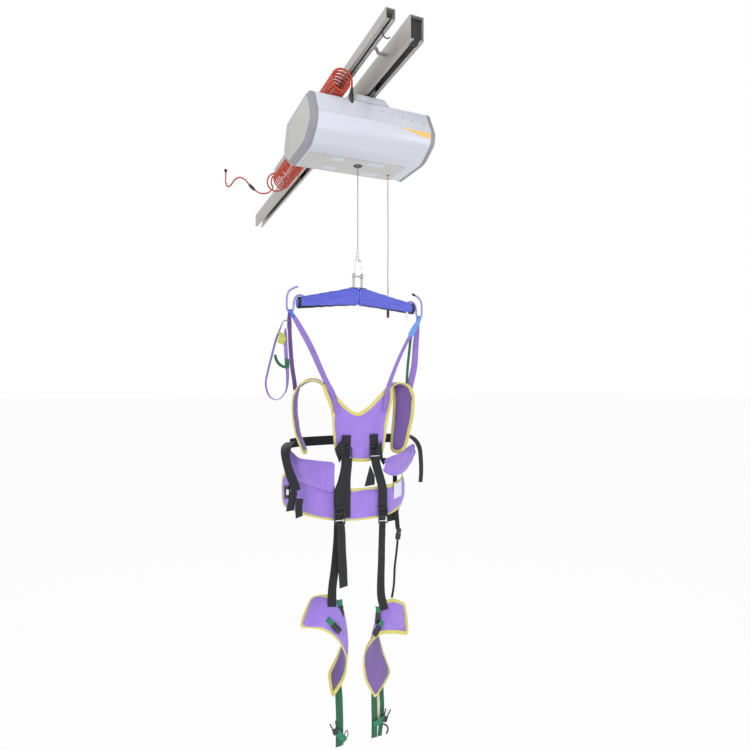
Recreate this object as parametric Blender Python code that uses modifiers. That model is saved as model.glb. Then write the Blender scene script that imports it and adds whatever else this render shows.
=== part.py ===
# Ceiling-rail walking hoist: a rail, an electric hoist on a trolley, a spreader bar and a walking harness.
# Metres, +Z up. The origin is on the main rail's ceiling face, straight above the lifting rope.
# X runs along the hoist and the spreader bar, Y runs along the rail, away from the viewer.
import math

import bmesh
import bpy
from mathutils import Matrix, Vector

# Clearances, and how far a cutter runs past the face that it cuts
GAP = 0.0003
RUNNING = 0.0005
CUT_PAST = 0.020

# Main rail, a C section that is open below
RAIL_NEAR = -0.490
RAIL_FAR = 1.820
RAIL_WIDTH = 0.050
RAIL_HEIGHT = 0.079
RAIL_WALL = 0.003
RAIL_SLOT = 0.022
RAIL_BOLTS = (-0.350, 0.620, 1.560)
RAIL_BOLT_HOLE = 0.0036
STOP_NEAR = -0.470
STOP_FAR = 0.800
STOP_LENGTH = 0.016
STOP_DROP = 0.0045

# Cable rail, a smaller C section beside the main rail
CABLE_RAIL_X = -0.093
CABLE_RAIL_FAR = 0.930
CABLE_RAIL_WIDTH = 0.033
CABLE_RAIL_HEIGHT = 0.035
CABLE_RAIL_WALL = 0.002
CABLE_RAIL_SLOT = 0.007
BRACKETS = {"rail_bracket_near": -0.300, "rail_bracket_far": 0.700}
BRACKET_LENGTH = 0.016
BRACKET_TOP = -0.010
BRACKET_DROP = 0.014
BRACKET_THICK = 0.0025
BRACKET_RUN = 0.022
BRACKET_BEND = 0.006
GLIDER_LENGTH = 0.024
CROWN = 0.0002
GLIDER_STEM = 0.003

# Small hook in the cable rail: its rod's route is (distance from the rail's middle, Z)
HOOK_Y = -0.4325
HOOK_ROD = 0.002
HOOK_FOOT = -0.036
HOOK_BEND = ((0.0, -0.0301), (0.0, -0.0402), (0.0, -0.047), (0.004, -0.054), (0.012, -0.058),
             (0.020, -0.0565), (0.025, -0.051))

# Trolley
WHEEL_RADIUS = 0.014
WHEEL_WIDTH = 0.0085
WHEEL_Y = 0.130
WHEEL_SIDE_GAP = 0.0008
AXLE_RADIUS = 0.004
HUB_RADIUS = 0.006
BEAM_HALF = 0.165
BEAM_THICK = 0.012
BEAM_RISE = 0.010
STEM_HALF = 0.050
STEM_LAP = 0.004
CHASSIS_TOP = -0.1183
CHASSIS_THICK = 0.004
CHASSIS_HALF_Y = 0.100

# Hoist casing: half of the section across the rail, from the seam up and from the seam down
CASE_HALF = 0.228
CASE_TOP = -0.110
CASE_BOTTOM = -0.300
CASE_SEAM = -0.204
CASE_WALL = 0.003
CASE_SHOULDER = ((0.130, CASE_TOP), (0.149, -0.1224), (0.190, CASE_SEAM))
CASE_BELLY = ((0.190, CASE_SEAM), (0.184, -0.250), (0.106, CASE_BOTTOM))
CAP_END = CASE_HALF + 0.027
CAP_RIM = CASE_HALF + 0.015
CAP_INSET = 0.014
CASE_END_ROOM = 0.028
CHASSIS_HALF_X = CASE_HALF - CASE_END_ROOM
SADDLE_TOP = -0.084
SADDLE_HALF_Y = 0.130
SADDLE_TOP_X = (-0.066, 0.062)
SADDLE_BASE_X = (-0.090, 0.086)

# Lifting gear inside the casing
ROPE_RADIUS = 0.002
ROPE_SIDES = 10
DRUM_RADIUS = 0.032
DRUM_Y = DRUM_RADIUS + ROPE_RADIUS + GAP
DRUM_Z = -0.200
DRUM_HALF = 0.035
DRUM_COLLAR = 0.012
FLANGE_RADIUS = 0.045
FLANGE_THICK = 0.003
SHAFT_RADIUS = 0.008
SHAFT_PAST = 0.009
CHEEK_X = 0.045
CHEEK_THICK = 0.005
CHEEK_DROP = 0.020
MOTOR_RADIUS = 0.036
MOTOR_END = -CHASSIS_HALF_X
MOTOR_LAP = 0.002
GEARBOX_END = -0.112
GEARBOX_SIZE = 0.084
POCKET_DEPTH = 0.012
CONTROL_X = (0.070, CHASSIS_HALF_X - 0.010)
CONTROL_Y = (-0.080, 0.018)
CONTROL_BOTTOM = -0.262
BUSH_RADIUS = 0.017
BUSH_BORE = 0.0034
BUSH_DROP = 0.0035

# Emergency pull cord
CORD_X = 0.155
CORD_Y = 0.044
CORD_RADIUS = 0.0015
CORD_HOLE = 0.004
CORD_TOP = -0.285
TOGGLE_TOP = -0.860
TOGGLE_BOTTOM = -0.898
TOGGLE_RADIUS = 0.006
SWITCH_SIZE = (0.030, 0.026, 0.026)

# Supply cable: gland, lead, coil over the hoist, coil along the cable rail, tail
GLAND = (-0.088, -0.150)
GLAND_RADIUS = 0.0085
GLAND_TOP = -0.105
GLAND_BOTTOM = -0.150
GLAND_GAP = 0.0002
CABLE_RADIUS = 0.004
LEAD_ROUTE = ((-0.088, -0.150, GLAND_TOP + GAP), (-0.088, -0.152, -0.095), (-0.0888, -0.158, -0.085),
              (-0.0912, -0.163, -0.0785))
TOP_COIL_X = -0.135
TOP_COIL_Z = -0.0693
TOP_COIL_RADIUS = 0.040
TOP_COIL_NEAR = -0.182
TOP_COIL_FAR = 0.200
REAR_COIL_X = -0.093
REAR_COIL_Z = -0.093
REAR_COIL_RADIUS = 0.050
REAR_COIL_FAR = 0.885
GLIDERS = {"cable_glider_near": 0.428, "cable_glider_far": 0.657}
COIL_SETTLED = 0.400
COIL_SHARES = (0.0, 0.0, 0.12, 0.45, 0.8, 1.0)
TAIL_ROUTE = ((-0.128, REAR_COIL_FAR + 2 * GAP, -0.122), (-0.128, REAR_COIL_FAR + 0.009, -0.122),
              (-0.134, 0.905, -0.131), (-0.150, 0.911, -0.143), (-0.172, 0.914, -0.150),
              (-0.196, 0.919, -0.147), (-0.218, 0.929, -0.131), (-0.232, 0.935, -0.117),
              (-0.248, 0.943, -0.098), (-0.268, 0.951, -0.074), (-0.293, 0.962, -0.063),
              (-0.316, 0.985, -0.073), (-0.333, 1.012, -0.095), (-0.346, 1.035, -0.096),
              (-0.3535, 1.0440, -0.072), (-0.354, 1.044, -0.040), (-0.354, 1.044, -0.0163))
CONNECTOR_AT = (-0.232, 0.935, -0.117)
CONNECTOR_ALONG = (-0.030, 0.014, 0.033)
CONNECTOR_RADIUS = 0.0085
CONNECTOR_BORE = 0.0052
CONNECTOR_LENGTH = 0.030
FITTING_AT = (-0.354, 1.044)
FITTING_RADIUS = 0.0085
FITTING_LENGTH = 0.016

# Rope end, bail and fork
ROPE_END = -0.6397
FERRULE_RADIUS = 0.0055
FERRULE_FOOT = -0.6662
STEM_RADIUS = 0.0031
HEAD_TOP = -0.6802
HEAD_BOTTOM = -0.6850
COLLAR_RADIUS = 0.0065
COLLAR_BORE = 0.0036
COLLAR_TOP = -0.6670
COLLAR_BOTTOM = -0.6795
BAIL_HALF = 0.0125
BAIL_ROD = 0.0025
BAIL_TOP = -0.6731
PIN_Z = -0.743
PIN_RADIUS = 0.004
EYE_RADIUS = 0.008
EYE_HALF = 0.0027
FORK_INNER = 0.0155
FORK_OUTER = 0.0190
FORK_TOP = -0.730
FORK_HALF_Y = 0.011
FORK_BRIDGE = 0.016
KNOB_RADIUS = 0.0065
KNOB_THICK = 0.004

# Spreader bar: a steel bar bent down to both ends, in two padded sleeves
BAR_Z = -0.8185
BAR_SLOPE = 0.1887
BAR_BEND = 0.020
BAR_RADIUS = 0.0115
BAR_HALF = 0.250
BAR_STATIONS = 21
SLEEVE_HALF = BAR_HALF + 0.005
SLEEVE_HEIGHTS = (0.0355, 0.022)
SLEEVE_DEPTHS = (0.022, 0.016)
SLEEVE_STATIONS = 11
NOTCH_TOP = 0.0235
NOTCH_FOOT = 0.0195
NOTCH_TALL = 0.040
NOTCH_HALF_Y = 0.030

# Hook rods, as (distance past the bar's end, height): the foot's heights are taken from a rod that rests
# on the bar, the loop's from the cradle that carries the webbing
ROD_RADIUS = 0.0045
ROD_SLOT = 0.0060
CRADLE_PAST = 0.028
CRADLE_X = BAR_HALF + CRADLE_PAST
CRADLE_Z = -0.8985
HOOK_FOOT_ROUTE = ((-0.038, 0.000308), (-0.027, 0.003408), (-0.015, 0.007408), (-0.004, 0.006908),
                   (0.005, 0.000408))
HOOK_LOOP_ROUTE = ((0.0115, 0.0485), (0.0145, 0.0325), (0.0155, 0.0165), (0.0190, 0.005),
                   (CRADLE_PAST, 0.0), (0.0375, 0.0055), (0.0412, 0.0185), (0.0415, 0.0425),
                   (0.0395, 0.0625), (0.032, 0.0795), (0.018, 0.0905), (-0.0005, 0.0985))
HOOK_SLOT_POINTS = 6

# Harness: webbing, padded panels and the line of the hips in plan
WEBBING = 0.002
PAD = 0.008
BELT_PAD = 0.010
VEST_Y = -0.010
WRAP_RADIUS = ROD_RADIUS + WEBBING / 2 + 0.0022
WRAP_HALF = 0.004
SHOULDER_X = 0.247
SHOULDER_Z = -1.1725
HIP_FRONT = -0.045
HIP_DEPTH = 0.190
HIP_HALF = 0.270
HIP_POWER = 3.5
BELT_TOP = -1.582
BELT_BOTTOM = -1.704
BELT_RISE_TOP = 0.018
BELT_RISE_BOTTOM = 0.036
BELT_ENDS = (-0.270, 0.262)
LEFT_PAD = (-0.250, -0.116)
LEFT_PAD_TOP = -1.430
LEFT_PAD_FALL = 0.294
RIGHT_PAD = (0.100, 0.258)
RIGHT_PAD_TOP = -1.505
RIGHT_PAD_RISE = 0.045
RIGHT_PAD_LIFT = 0.030
RIGHT_PAD_FOOT_X = 0.125
RIGHT_PAD_FOOT_BEND = 3.6
WAIST_STRAP_WIDTH = 0.038
LEG_HINGE_Z = -1.700
LEG_STRAP_X = {"left": -0.104, "right": 0.082}
LEG_STRAP_Y = -0.052
FRONT_STRAP_HALF = 0.019
LEG_STRAP_HALF = 0.017
GREEN_STRAP_HALF = 0.011

SMOOTH = 2
ROUND = 20


def material(name, colour, roughness, metallic=0.0):
    shade = bpy.data.materials.new(name)
    shade.use_nodes = True
    shader = shade.node_tree.nodes["Principled BSDF"]
    shader.inputs["Base Color"].default_value = (*colour, 1.0)
    shader.inputs["Roughness"].default_value = roughness
    shader.inputs["Metallic"].default_value = metallic
    shade.diffuse_color = (*colour, 1.0)
    return shade


for old in list(bpy.data.objects):
    bpy.data.objects.remove(old, do_unlink=True)

parts = bpy.data.collections.new("walking_hoist")
cutters = bpy.data.collections.new("cutters")
for group in (parts, cutters):
    bpy.context.scene.collection.children.link(group)

COLOURS = {
    "rail_aluminium": ((0.43, 0.42, 0.40), 0.40, 0.7),
    "steel": ((0.55, 0.55, 0.56), 0.30, 0.9),
    "dark_plastic": ((0.03, 0.03, 0.035), 0.55, 0.0),
    "casing": ((0.62, 0.63, 0.68), 0.42, 0.0),
    "end_face": ((0.52, 0.52, 0.50), 0.50, 0.0),
    "coil_jacket": ((0.48, 0.09, 0.03), 0.45, 0.0),
    "rope_white": ((0.50, 0.50, 0.50), 0.60, 0.2),
    "blue_cover": ((0.10, 0.12, 0.60), 0.55, 0.0),
    "hook_rod": ((0.20, 0.21, 0.50), 0.35, 0.3),
    "purple": ((0.36, 0.22, 0.72), 0.80, 0.0),
    "black_webbing": ((0.02, 0.025, 0.03), 0.80, 0.0),
    "green_webbing": ((0.01, 0.13, 0.06), 0.80, 0.0),
    "red_plastic": ((0.55, 0.04, 0.03), 0.45, 0.0),
}
shades = {name: material(name, *values) for name, values in COLOURS.items()}


def joint(name, at):
    # An empty on a joint's axis, which carries the pieces of one moving body.
    empty = bpy.data.objects.new(name, None)
    empty.empty_display_size = 0.03
    empty.location = at
    bpy.context.scene.collection.objects.link(empty)
    return empty


def put(piece, shade, carrier=None):
    # Links a piece, gives it its material and parents it where it stands.
    piece.data.materials.clear()
    piece.data.materials.append(shades[shade])
    parts.objects.link(piece)
    if carrier:
        piece.parent = carrier
        piece.matrix_parent_inverse = Matrix.Translation(-carrier.location)
    return piece


def from_bmesh(name, mesh_builder):
    mesh = bpy.data.meshes.new(name)
    mesh_builder.to_mesh(mesh)
    mesh_builder.free()
    return bpy.data.objects.new(name, mesh)


def box(name, low, high, bevel=0.0):
    # A box between two corners.
    low = Vector(low)
    high = Vector(high)
    work = bmesh.new()
    bmesh.ops.create_cube(work, size=1.0)
    bmesh.ops.scale(work, vec=high - low, verts=work.verts)
    bmesh.ops.translate(work, vec=(low + high) / 2, verts=work.verts)
    piece = from_bmesh(name, work)
    if bevel:
        edge = piece.modifiers.new("edges", "BEVEL")
        edge.width = bevel
        edge.segments = 2
    return piece


def cylinder(name, start, end, radius, sides=ROUND):
    # A round bar between two points.
    start = Vector(start)
    end = Vector(end)
    turn = (end - start).to_track_quat("Z", "Y").to_matrix().to_4x4()
    work = bmesh.new()
    bmesh.ops.create_cone(work, cap_ends=True, segments=sides, radius1=radius, radius2=radius,
                          depth=(end - start).length, matrix=Matrix.Translation((start + end) / 2) @ turn)
    return from_bmesh(name, work)


def along_x(name, start, end, y, z, radius):
    return cylinder(name, (start, y, z), (end, y, z), radius)


def upright(name, middle, low, high, radius, sides=ROUND):
    return cylinder(name, (*middle, low), (*middle, high), radius, sides)


def smooth(points, steps):
    # Reads a smooth curve (Catmull-Rom) through the points, with the given steps from one to the next.
    points = [Vector(p) for p in points]
    ends = [2 * points[0] - points[1]] + points + [2 * points[-1] - points[-2]]
    route = []
    for a, b, c, d in zip(ends, ends[1:], ends[2:], ends[3:]):
        for step in range(steps):
            t = step / steps
            route.append(0.5 * (2 * b + (c - a) * t + (2 * a - 5 * b + 4 * c - d) * t * t
                                + (3 * b - a - 3 * c + d) * t ** 3))
    return route + [points[-1]]


def tube(name, route, radius, radii=None):
    # A round tube with closed ends along a route. The radii, if given, scale it point by point.
    curve = bpy.data.curves.new(name, "CURVE")
    curve.dimensions = "3D"
    curve.bevel_depth = radius
    curve.bevel_resolution = 2
    curve.use_fill_caps = True
    line = curve.splines.new("POLY")
    line.points.add(len(route) - 1)
    for index, at in enumerate(route):
        line.points[index].co = (*at, 1.0)
        if radii:
            line.points[index].radius = radii[index]
    return bpy.data.objects.new(name, curve)


def extruded(name, outline, axis, start, end):
    # A flat outline given thickness along X (outline in Y and Z) or along Y (outline in X and Z).
    curve = bpy.data.curves.new(name, "CURVE")
    curve.dimensions = "2D"
    curve.fill_mode = "BOTH"
    curve.extrude = abs(end - start) / 2
    line = curve.splines.new("POLY")
    line.points.add(len(outline) - 1)
    line.use_cyclic_u = True
    for index, (across, up) in enumerate(outline):
        line.points[index].co = (across, up, 0.0, 1.0)
    piece = bpy.data.objects.new(name, curve)
    middle = (start + end) / 2
    if axis == "X":
        piece.matrix_world = Matrix(((0, 0, 1, middle), (1, 0, 0, 0), (0, 1, 0, 0), (0, 0, 0, 1)))
    else:
        piece.matrix_world = Matrix(((1, 0, 0, 0), (0, 0, -1, middle), (0, 1, 0, 0), (0, 0, 0, 1)))
    return piece


def as_mesh(piece):
    # Turns a curve object into one closed mesh in world space, and removes the curve.
    holder = bpy.context.scene.collection
    holder.objects.link(piece)
    bpy.context.view_layer.update()
    solved = piece.evaluated_get(bpy.context.evaluated_depsgraph_get())
    mesh = bpy.data.meshes.new_from_object(solved)
    mesh.transform(piece.matrix_world)
    name = piece.name
    bpy.data.objects.remove(piece, do_unlink=True)
    work = bmesh.new()
    work.from_mesh(mesh)
    bmesh.ops.remove_doubles(work, verts=work.verts, dist=0.00001)
    bmesh.ops.recalc_face_normals(work, faces=work.faces)
    bpy.data.meshes.remove(mesh)
    return from_bmesh(name, work)


def turned(name, profile, at, axis="Z"):
    # A turned solid. The profile is (radius, distance along the axis), top to bottom down its outer side.
    work = bmesh.new()
    looped = profile[0] == profile[-1]
    points = [work.verts.new((radius, 0.0, along)) for radius, along in profile[looped:]]
    if looped:
        points.append(points[0])
    for low, high in zip(points, points[1:]):
        work.edges.new((low, high))
    piece = from_bmesh(name, work)
    screw = piece.modifiers.new("turn", "SCREW")
    screw.steps = ROUND
    screw.render_steps = ROUND
    screw.use_merge_vertices = True
    screw.merge_threshold = 0.00005
    piece.location = at
    if axis == "X":
        piece.rotation_euler = (0.0, math.pi / 2, 0.0)
    return piece


def loft(name, rings, closed=False):
    # A skin over rings of equally many points. It is capped at both ends, or its last ring meets the first.
    work = bmesh.new()
    rows = [[work.verts.new(p) for p in ring] for ring in rings]
    pairs = list(zip(rows, rows[1:]))
    if closed:
        pairs.append((rows[-1], rows[0]))
    else:
        work.faces.new(rows[0])
        work.faces.new(rows[-1])
    count = len(rows[0])
    for near, far in pairs:
        for index in range(count):
            after = (index + 1) % count
            work.faces.new((near[index], near[after], far[after], far[index]))
    bmesh.ops.recalc_face_normals(work, faces=work.faces)
    return from_bmesh(name, work)


def band(name, edge_a, edge_b, thick, steps=SMOOTH):
    # A flat strip or panel between two edges, which are read as smooth curves through their points.
    edge_a = smooth(edge_a, steps)
    edge_b = smooth(edge_b, steps)
    last = len(edge_a) - 1
    rings = []
    for index, (a, b) in enumerate(zip(edge_a, edge_b)):
        before = max(index - 1, 0)
        after = min(index + 1, last)
        along = edge_a[after] + edge_b[after] - edge_a[before] - edge_b[before]
        side = along.cross(b - a).normalized() * thick / 2
        rings.append((a + side, b + side, b - side, a - side))
    return loft(name, rings)


def strap(name, route, half_width, thick=WEBBING, steps=SMOOTH):
    # A band of one width, whose width lies along X.
    shift = Vector((half_width, 0.0, 0.0))
    return band(name, [Vector(p) - shift for p in route], [Vector(p) + shift for p in route], thick, steps)


def work_on(piece, tool, operation):
    # Cuts a piece with a tool, or joins the tool to it.
    tool.hide_render = True
    tool.display_type = "WIRE"
    cutters.objects.link(tool)
    step = piece.modifiers.new(operation.lower(), "BOOLEAN")
    step.operation = operation
    step.solver = "EXACT"
    step.object = tool
    return piece


def cut(piece, *tools):
    for tool in tools:
        work_on(piece, tool, "DIFFERENCE")
    return piece


def join(piece, *tools):
    for tool in tools:
        work_on(piece, tool, "UNION")
    return piece


def mirrored(points):
    return tuple((-p[0], *p[1:]) for p in points)


def offset(path, distance):
    # Moves an open path sideways by a distance, to its right, with mitred corners.
    path = [Vector(p) for p in path]
    sides = [Vector((b.y - a.y, a.x - b.x)).normalized() for a, b in zip(path, path[1:])]
    moved = [path[0] + sides[0] * distance]
    for corner, before, after in zip(path[1:], sides, sides[1:]):
        middle = (before + after).normalized()
        moved.append(corner + middle * distance / middle.dot(before))
    return moved + [path[-1] + sides[-1] * distance]


def channel(name, centre, width, height, wall, slot, near, far):
    # A rail section, open below through a slot between two lips.
    half = width / 2
    gap = slot / 2
    outline = [(gap, -height), (half, -height), (half, 0), (-half, 0), (-half, -height), (-gap, -height),
               (-gap, wall - height), (wall - half, wall - height), (wall - half, -wall),
               (half - wall, -wall), (half - wall, wall - height), (gap, wall - height)]
    return extruded(name, [(centre + x, z) for x, z in outline], "Y", near, far)


def rails():
    rail = as_mesh(channel("main_rail", 0.0, RAIL_WIDTH, RAIL_HEIGHT, RAIL_WALL, RAIL_SLOT,
                           RAIL_NEAR, RAIL_FAR))
    holes = [cylinder(f"bolt_hole_{index}", (0, y, -CUT_PAST), (0, y, CUT_PAST), RAIL_BOLT_HOLE)
             for index, y in enumerate(RAIL_BOLTS)]
    put(cut(rail, *holes), "rail_aluminium")
    put(channel("cable_rail", CABLE_RAIL_X, CABLE_RAIL_WIDTH, CABLE_RAIL_HEIGHT, CABLE_RAIL_WALL,
                CABLE_RAIL_SLOT, RAIL_NEAR, CABLE_RAIL_FAR), "rail_aluminium")
    left = CABLE_RAIL_X + CABLE_RAIL_WIDTH / 2 + GAP
    right = -RAIL_WIDTH / 2 - GAP
    low = BRACKET_TOP - BRACKET_DROP
    bend = left + BRACKET_RUN
    path = [(left, BRACKET_TOP), (bend, BRACKET_TOP), (bend + BRACKET_BEND, low), (right, low)]
    outline = path + offset(path, BRACKET_THICK)[::-1]
    for name, y in BRACKETS.items():
        put(extruded(name, outline, "Y", y - BRACKET_LENGTH / 2, y + BRACKET_LENGTH / 2), "rail_aluminium")
    lip = RAIL_WALL - RAIL_HEIGHT + GAP
    wide = RAIL_WIDTH / 2 - RAIL_WALL - RUNNING
    narrow = RAIL_SLOT / 2 - RUNNING
    foot = -RAIL_HEIGHT - STOP_DROP
    roof = -RAIL_WALL - RUNNING
    stop = [(-narrow, foot), (narrow, foot), (narrow, lip), (wide, lip + CROWN), (wide, roof),
            (-wide, roof), (-wide, lip + CROWN), (-narrow, lip)]
    for name, y in (("near_end_stop", STOP_NEAR), ("far_end_stop", STOP_FAR)):
        put(extruded(name, stop, "Y", y - STOP_LENGTH / 2, y + STOP_LENGTH / 2), "dark_plastic")


def glider(name, y, stem_bottom):
    # A block that runs inside the cable rail on a slightly crowned sole, with a stem down through the slot.
    half = CABLE_RAIL_WIDTH / 2 - CABLE_RAIL_WALL - RUNNING
    floor = CABLE_RAIL_WALL - CABLE_RAIL_HEIGHT + GAP
    x = CABLE_RAIL_X
    outline = [(x - half, -CABLE_RAIL_WALL - RUNNING), (x - half, floor + CROWN), (x - GLIDER_STEM, floor),
               (x - GLIDER_STEM, stem_bottom), (x + GLIDER_STEM, stem_bottom), (x + GLIDER_STEM, floor),
               (x + half, floor + CROWN), (x + half, -CABLE_RAIL_WALL - RUNNING)]
    return extruded(name, outline, "Y", y - GLIDER_LENGTH / 2, y + GLIDER_LENGTH / 2)


def cable_fittings(carriers):
    stem_bottom = REAR_COIL_Z + REAR_COIL_RADIUS + GAP
    for name, y in GLIDERS.items():
        put(glider(name, y, stem_bottom), "dark_plastic", carriers[name])
    route = [(CABLE_RAIL_X + across, HOOK_Y, z) for across, z in HOOK_BEND]
    block = as_mesh(glider("cable_hook", HOOK_Y, HOOK_FOOT))
    rod = as_mesh(tube("cable_hook_rod", smooth(route, 3), HOOK_ROD))
    put(join(block, rod), "dark_plastic")
    along = Vector(CONNECTOR_ALONG).normalized() * CONNECTOR_LENGTH / 2
    centre = Vector(CONNECTOR_AT)
    shell = cylinder("cable_connector", centre - along, centre + along, CONNECTOR_RADIUS)
    bore = cylinder("connector_bore", centre - 2 * along, centre + 2 * along, CONNECTOR_BORE)
    put(cut(shell, bore), "dark_plastic")
    put(upright("cable_end_fitting", FITTING_AT, -FITTING_LENGTH, 0.0, FITTING_RADIUS), "dark_plastic")


def supply_cable(trolley):
    put(tube("cable_lead", smooth(LEAD_ROUTE, 4), CABLE_RADIUS), "coil_jacket", trolley)
    coil = [(TOP_COIL_X, TOP_COIL_NEAR, TOP_COIL_Z), (TOP_COIL_X, TOP_COIL_FAR, TOP_COIL_Z)]
    put(tube("cable_coil_top", coil, TOP_COIL_RADIUS), "coil_jacket", trolley)
    route = []
    radii = []
    for y, share in zip(spread(TOP_COIL_FAR + GAP, COIL_SETTLED, len(COIL_SHARES)), COIL_SHARES):
        route.append((TOP_COIL_X + (REAR_COIL_X - TOP_COIL_X) * share, y,
                      TOP_COIL_Z + (REAR_COIL_Z - TOP_COIL_Z) * share))
        radii.append(TOP_COIL_RADIUS + (REAR_COIL_RADIUS - TOP_COIL_RADIUS) * share)
    route.append((REAR_COIL_X, REAR_COIL_FAR, REAR_COIL_Z))
    radii.append(REAR_COIL_RADIUS)
    put(tube("supply_coil", route, 1.0, radii), "coil_jacket")
    put(tube("supply_tail", smooth(TAIL_ROUTE, 3), CABLE_RADIUS), "coil_jacket")


def wheel_set(name, y, carrier):
    # Two wheels on one axle, turned about X.
    outer = RAIL_WIDTH / 2 - RAIL_WALL - WHEEL_SIDE_GAP
    inner = outer - WHEEL_WIDTH
    hub = BEAM_THICK / 2 + GAP
    half = [(0.0, outer), (WHEEL_RADIUS, outer), (WHEEL_RADIUS, inner), (HUB_RADIUS, inner),
            (HUB_RADIUS, hub), (AXLE_RADIUS, hub)]
    profile = half + [(radius, -along) for radius, along in reversed(half)]
    put(turned(name, profile, (0.0, y, wheel_z()), "X"), "dark_plastic", carrier)


def wheel_z():
    return RAIL_WALL - RAIL_HEIGHT + WHEEL_RADIUS + GAP


def trolley_gear(trolley):
    beam_low = SADDLE_TOP + RUNNING
    half = BEAM_THICK / 2
    beam = box("trolley_frame", (-half, -BEAM_HALF, beam_low), (half, BEAM_HALF, wheel_z() + BEAM_RISE))
    stem = box("trolley_stem", (-half, -STEM_HALF, CHASSIS_TOP + GAP), (half, STEM_HALF, beam_low + STEM_LAP))
    holes = [along_x(f"axle_hole_{index}", -CUT_PAST, CUT_PAST, y, wheel_z(), AXLE_RADIUS + GAP)
             for index, y in enumerate((-WHEEL_Y, WHEEL_Y))]
    put(cut(join(beam, stem), *holes), "steel", trolley)

    plate_low = CHASSIS_TOP - CHASSIS_THICK
    plate = box("chassis", (-CHASSIS_HALF_X, -CHASSIS_HALF_Y, plate_low),
                (CHASSIS_HALF_X, CHASSIS_HALF_Y, CHASSIS_TOP))
    cheek_half = CHEEK_THICK / 2
    cheeks = [box(f"drum_cheek_{side}",
                  (side * CHEEK_X - cheek_half, DRUM_Y - FLANGE_RADIUS, DRUM_Z - CHEEK_DROP),
                  (side * CHEEK_X + cheek_half, DRUM_Y + FLANGE_RADIUS, plate_low + CHASSIS_THICK / 4))
              for side in (-1, 1)]
    cheek_out = CHEEK_X + cheek_half + GAP
    shaft_hole = along_x("shaft_hole", -2 * CHEEK_X, 2 * CHEEK_X, DRUM_Y, DRUM_Z, SHAFT_RADIUS + GAP)
    put(cut(join(plate, *cheeks), shaft_hole), "steel", trolley)

    block_half = GEARBOX_SIZE / 2
    gearbox = box("gear_motor", (GEARBOX_END, DRUM_Y - block_half, DRUM_Z - block_half),
                  (-cheek_out, DRUM_Y + block_half, DRUM_Z + block_half))
    motor = along_x("motor_can", MOTOR_END, GEARBOX_END + MOTOR_LAP, DRUM_Y, DRUM_Z, MOTOR_RADIUS)
    pocket = along_x("shaft_pocket", -cheek_out - POCKET_DEPTH, 0.0, DRUM_Y, DRUM_Z, SHAFT_RADIUS + GAP)
    put(cut(join(gearbox, motor), pocket), "steel", trolley)
    put(box("control_box", (CONTROL_X[0], CONTROL_Y[0], CONTROL_BOTTOM),
            (CONTROL_X[1], CONTROL_Y[1], plate_low - GAP), 0.002), "dark_plastic", trolley)
    floor = CASE_BOTTOM + CASE_WALL + GAP
    wide, deep, tall = SWITCH_SIZE
    switch = box("pull_switch", (CORD_X - wide / 2, CORD_Y - deep / 2, floor),
                 (CORD_X + wide / 2, CORD_Y + deep / 2, floor + tall))
    bore = upright("switch_bore", (CORD_X, CORD_Y), floor - CUT_PAST, CORD_TOP + GAP, CORD_RADIUS + RUNNING)
    put(cut(switch, bore), "dark_plastic", trolley)


def rope_drum(carrier):
    flange = DRUM_HALF + FLANGE_THICK
    shaft = CHEEK_X + CHEEK_THICK / 2 + SHAFT_PAST
    face = CHEEK_X - CHEEK_THICK / 2 - GAP
    half = [(0.0, shaft), (SHAFT_RADIUS, shaft), (SHAFT_RADIUS, face), (DRUM_COLLAR, face),
            (DRUM_COLLAR, flange), (FLANGE_RADIUS, flange), (FLANGE_RADIUS, DRUM_HALF),
            (DRUM_RADIUS, DRUM_HALF)]
    profile = half + [(radius, -along) for radius, along in reversed(half)]
    put(turned("rope_drum", profile, (0.0, DRUM_Y, DRUM_Z), "X"), "steel", carrier)


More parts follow.
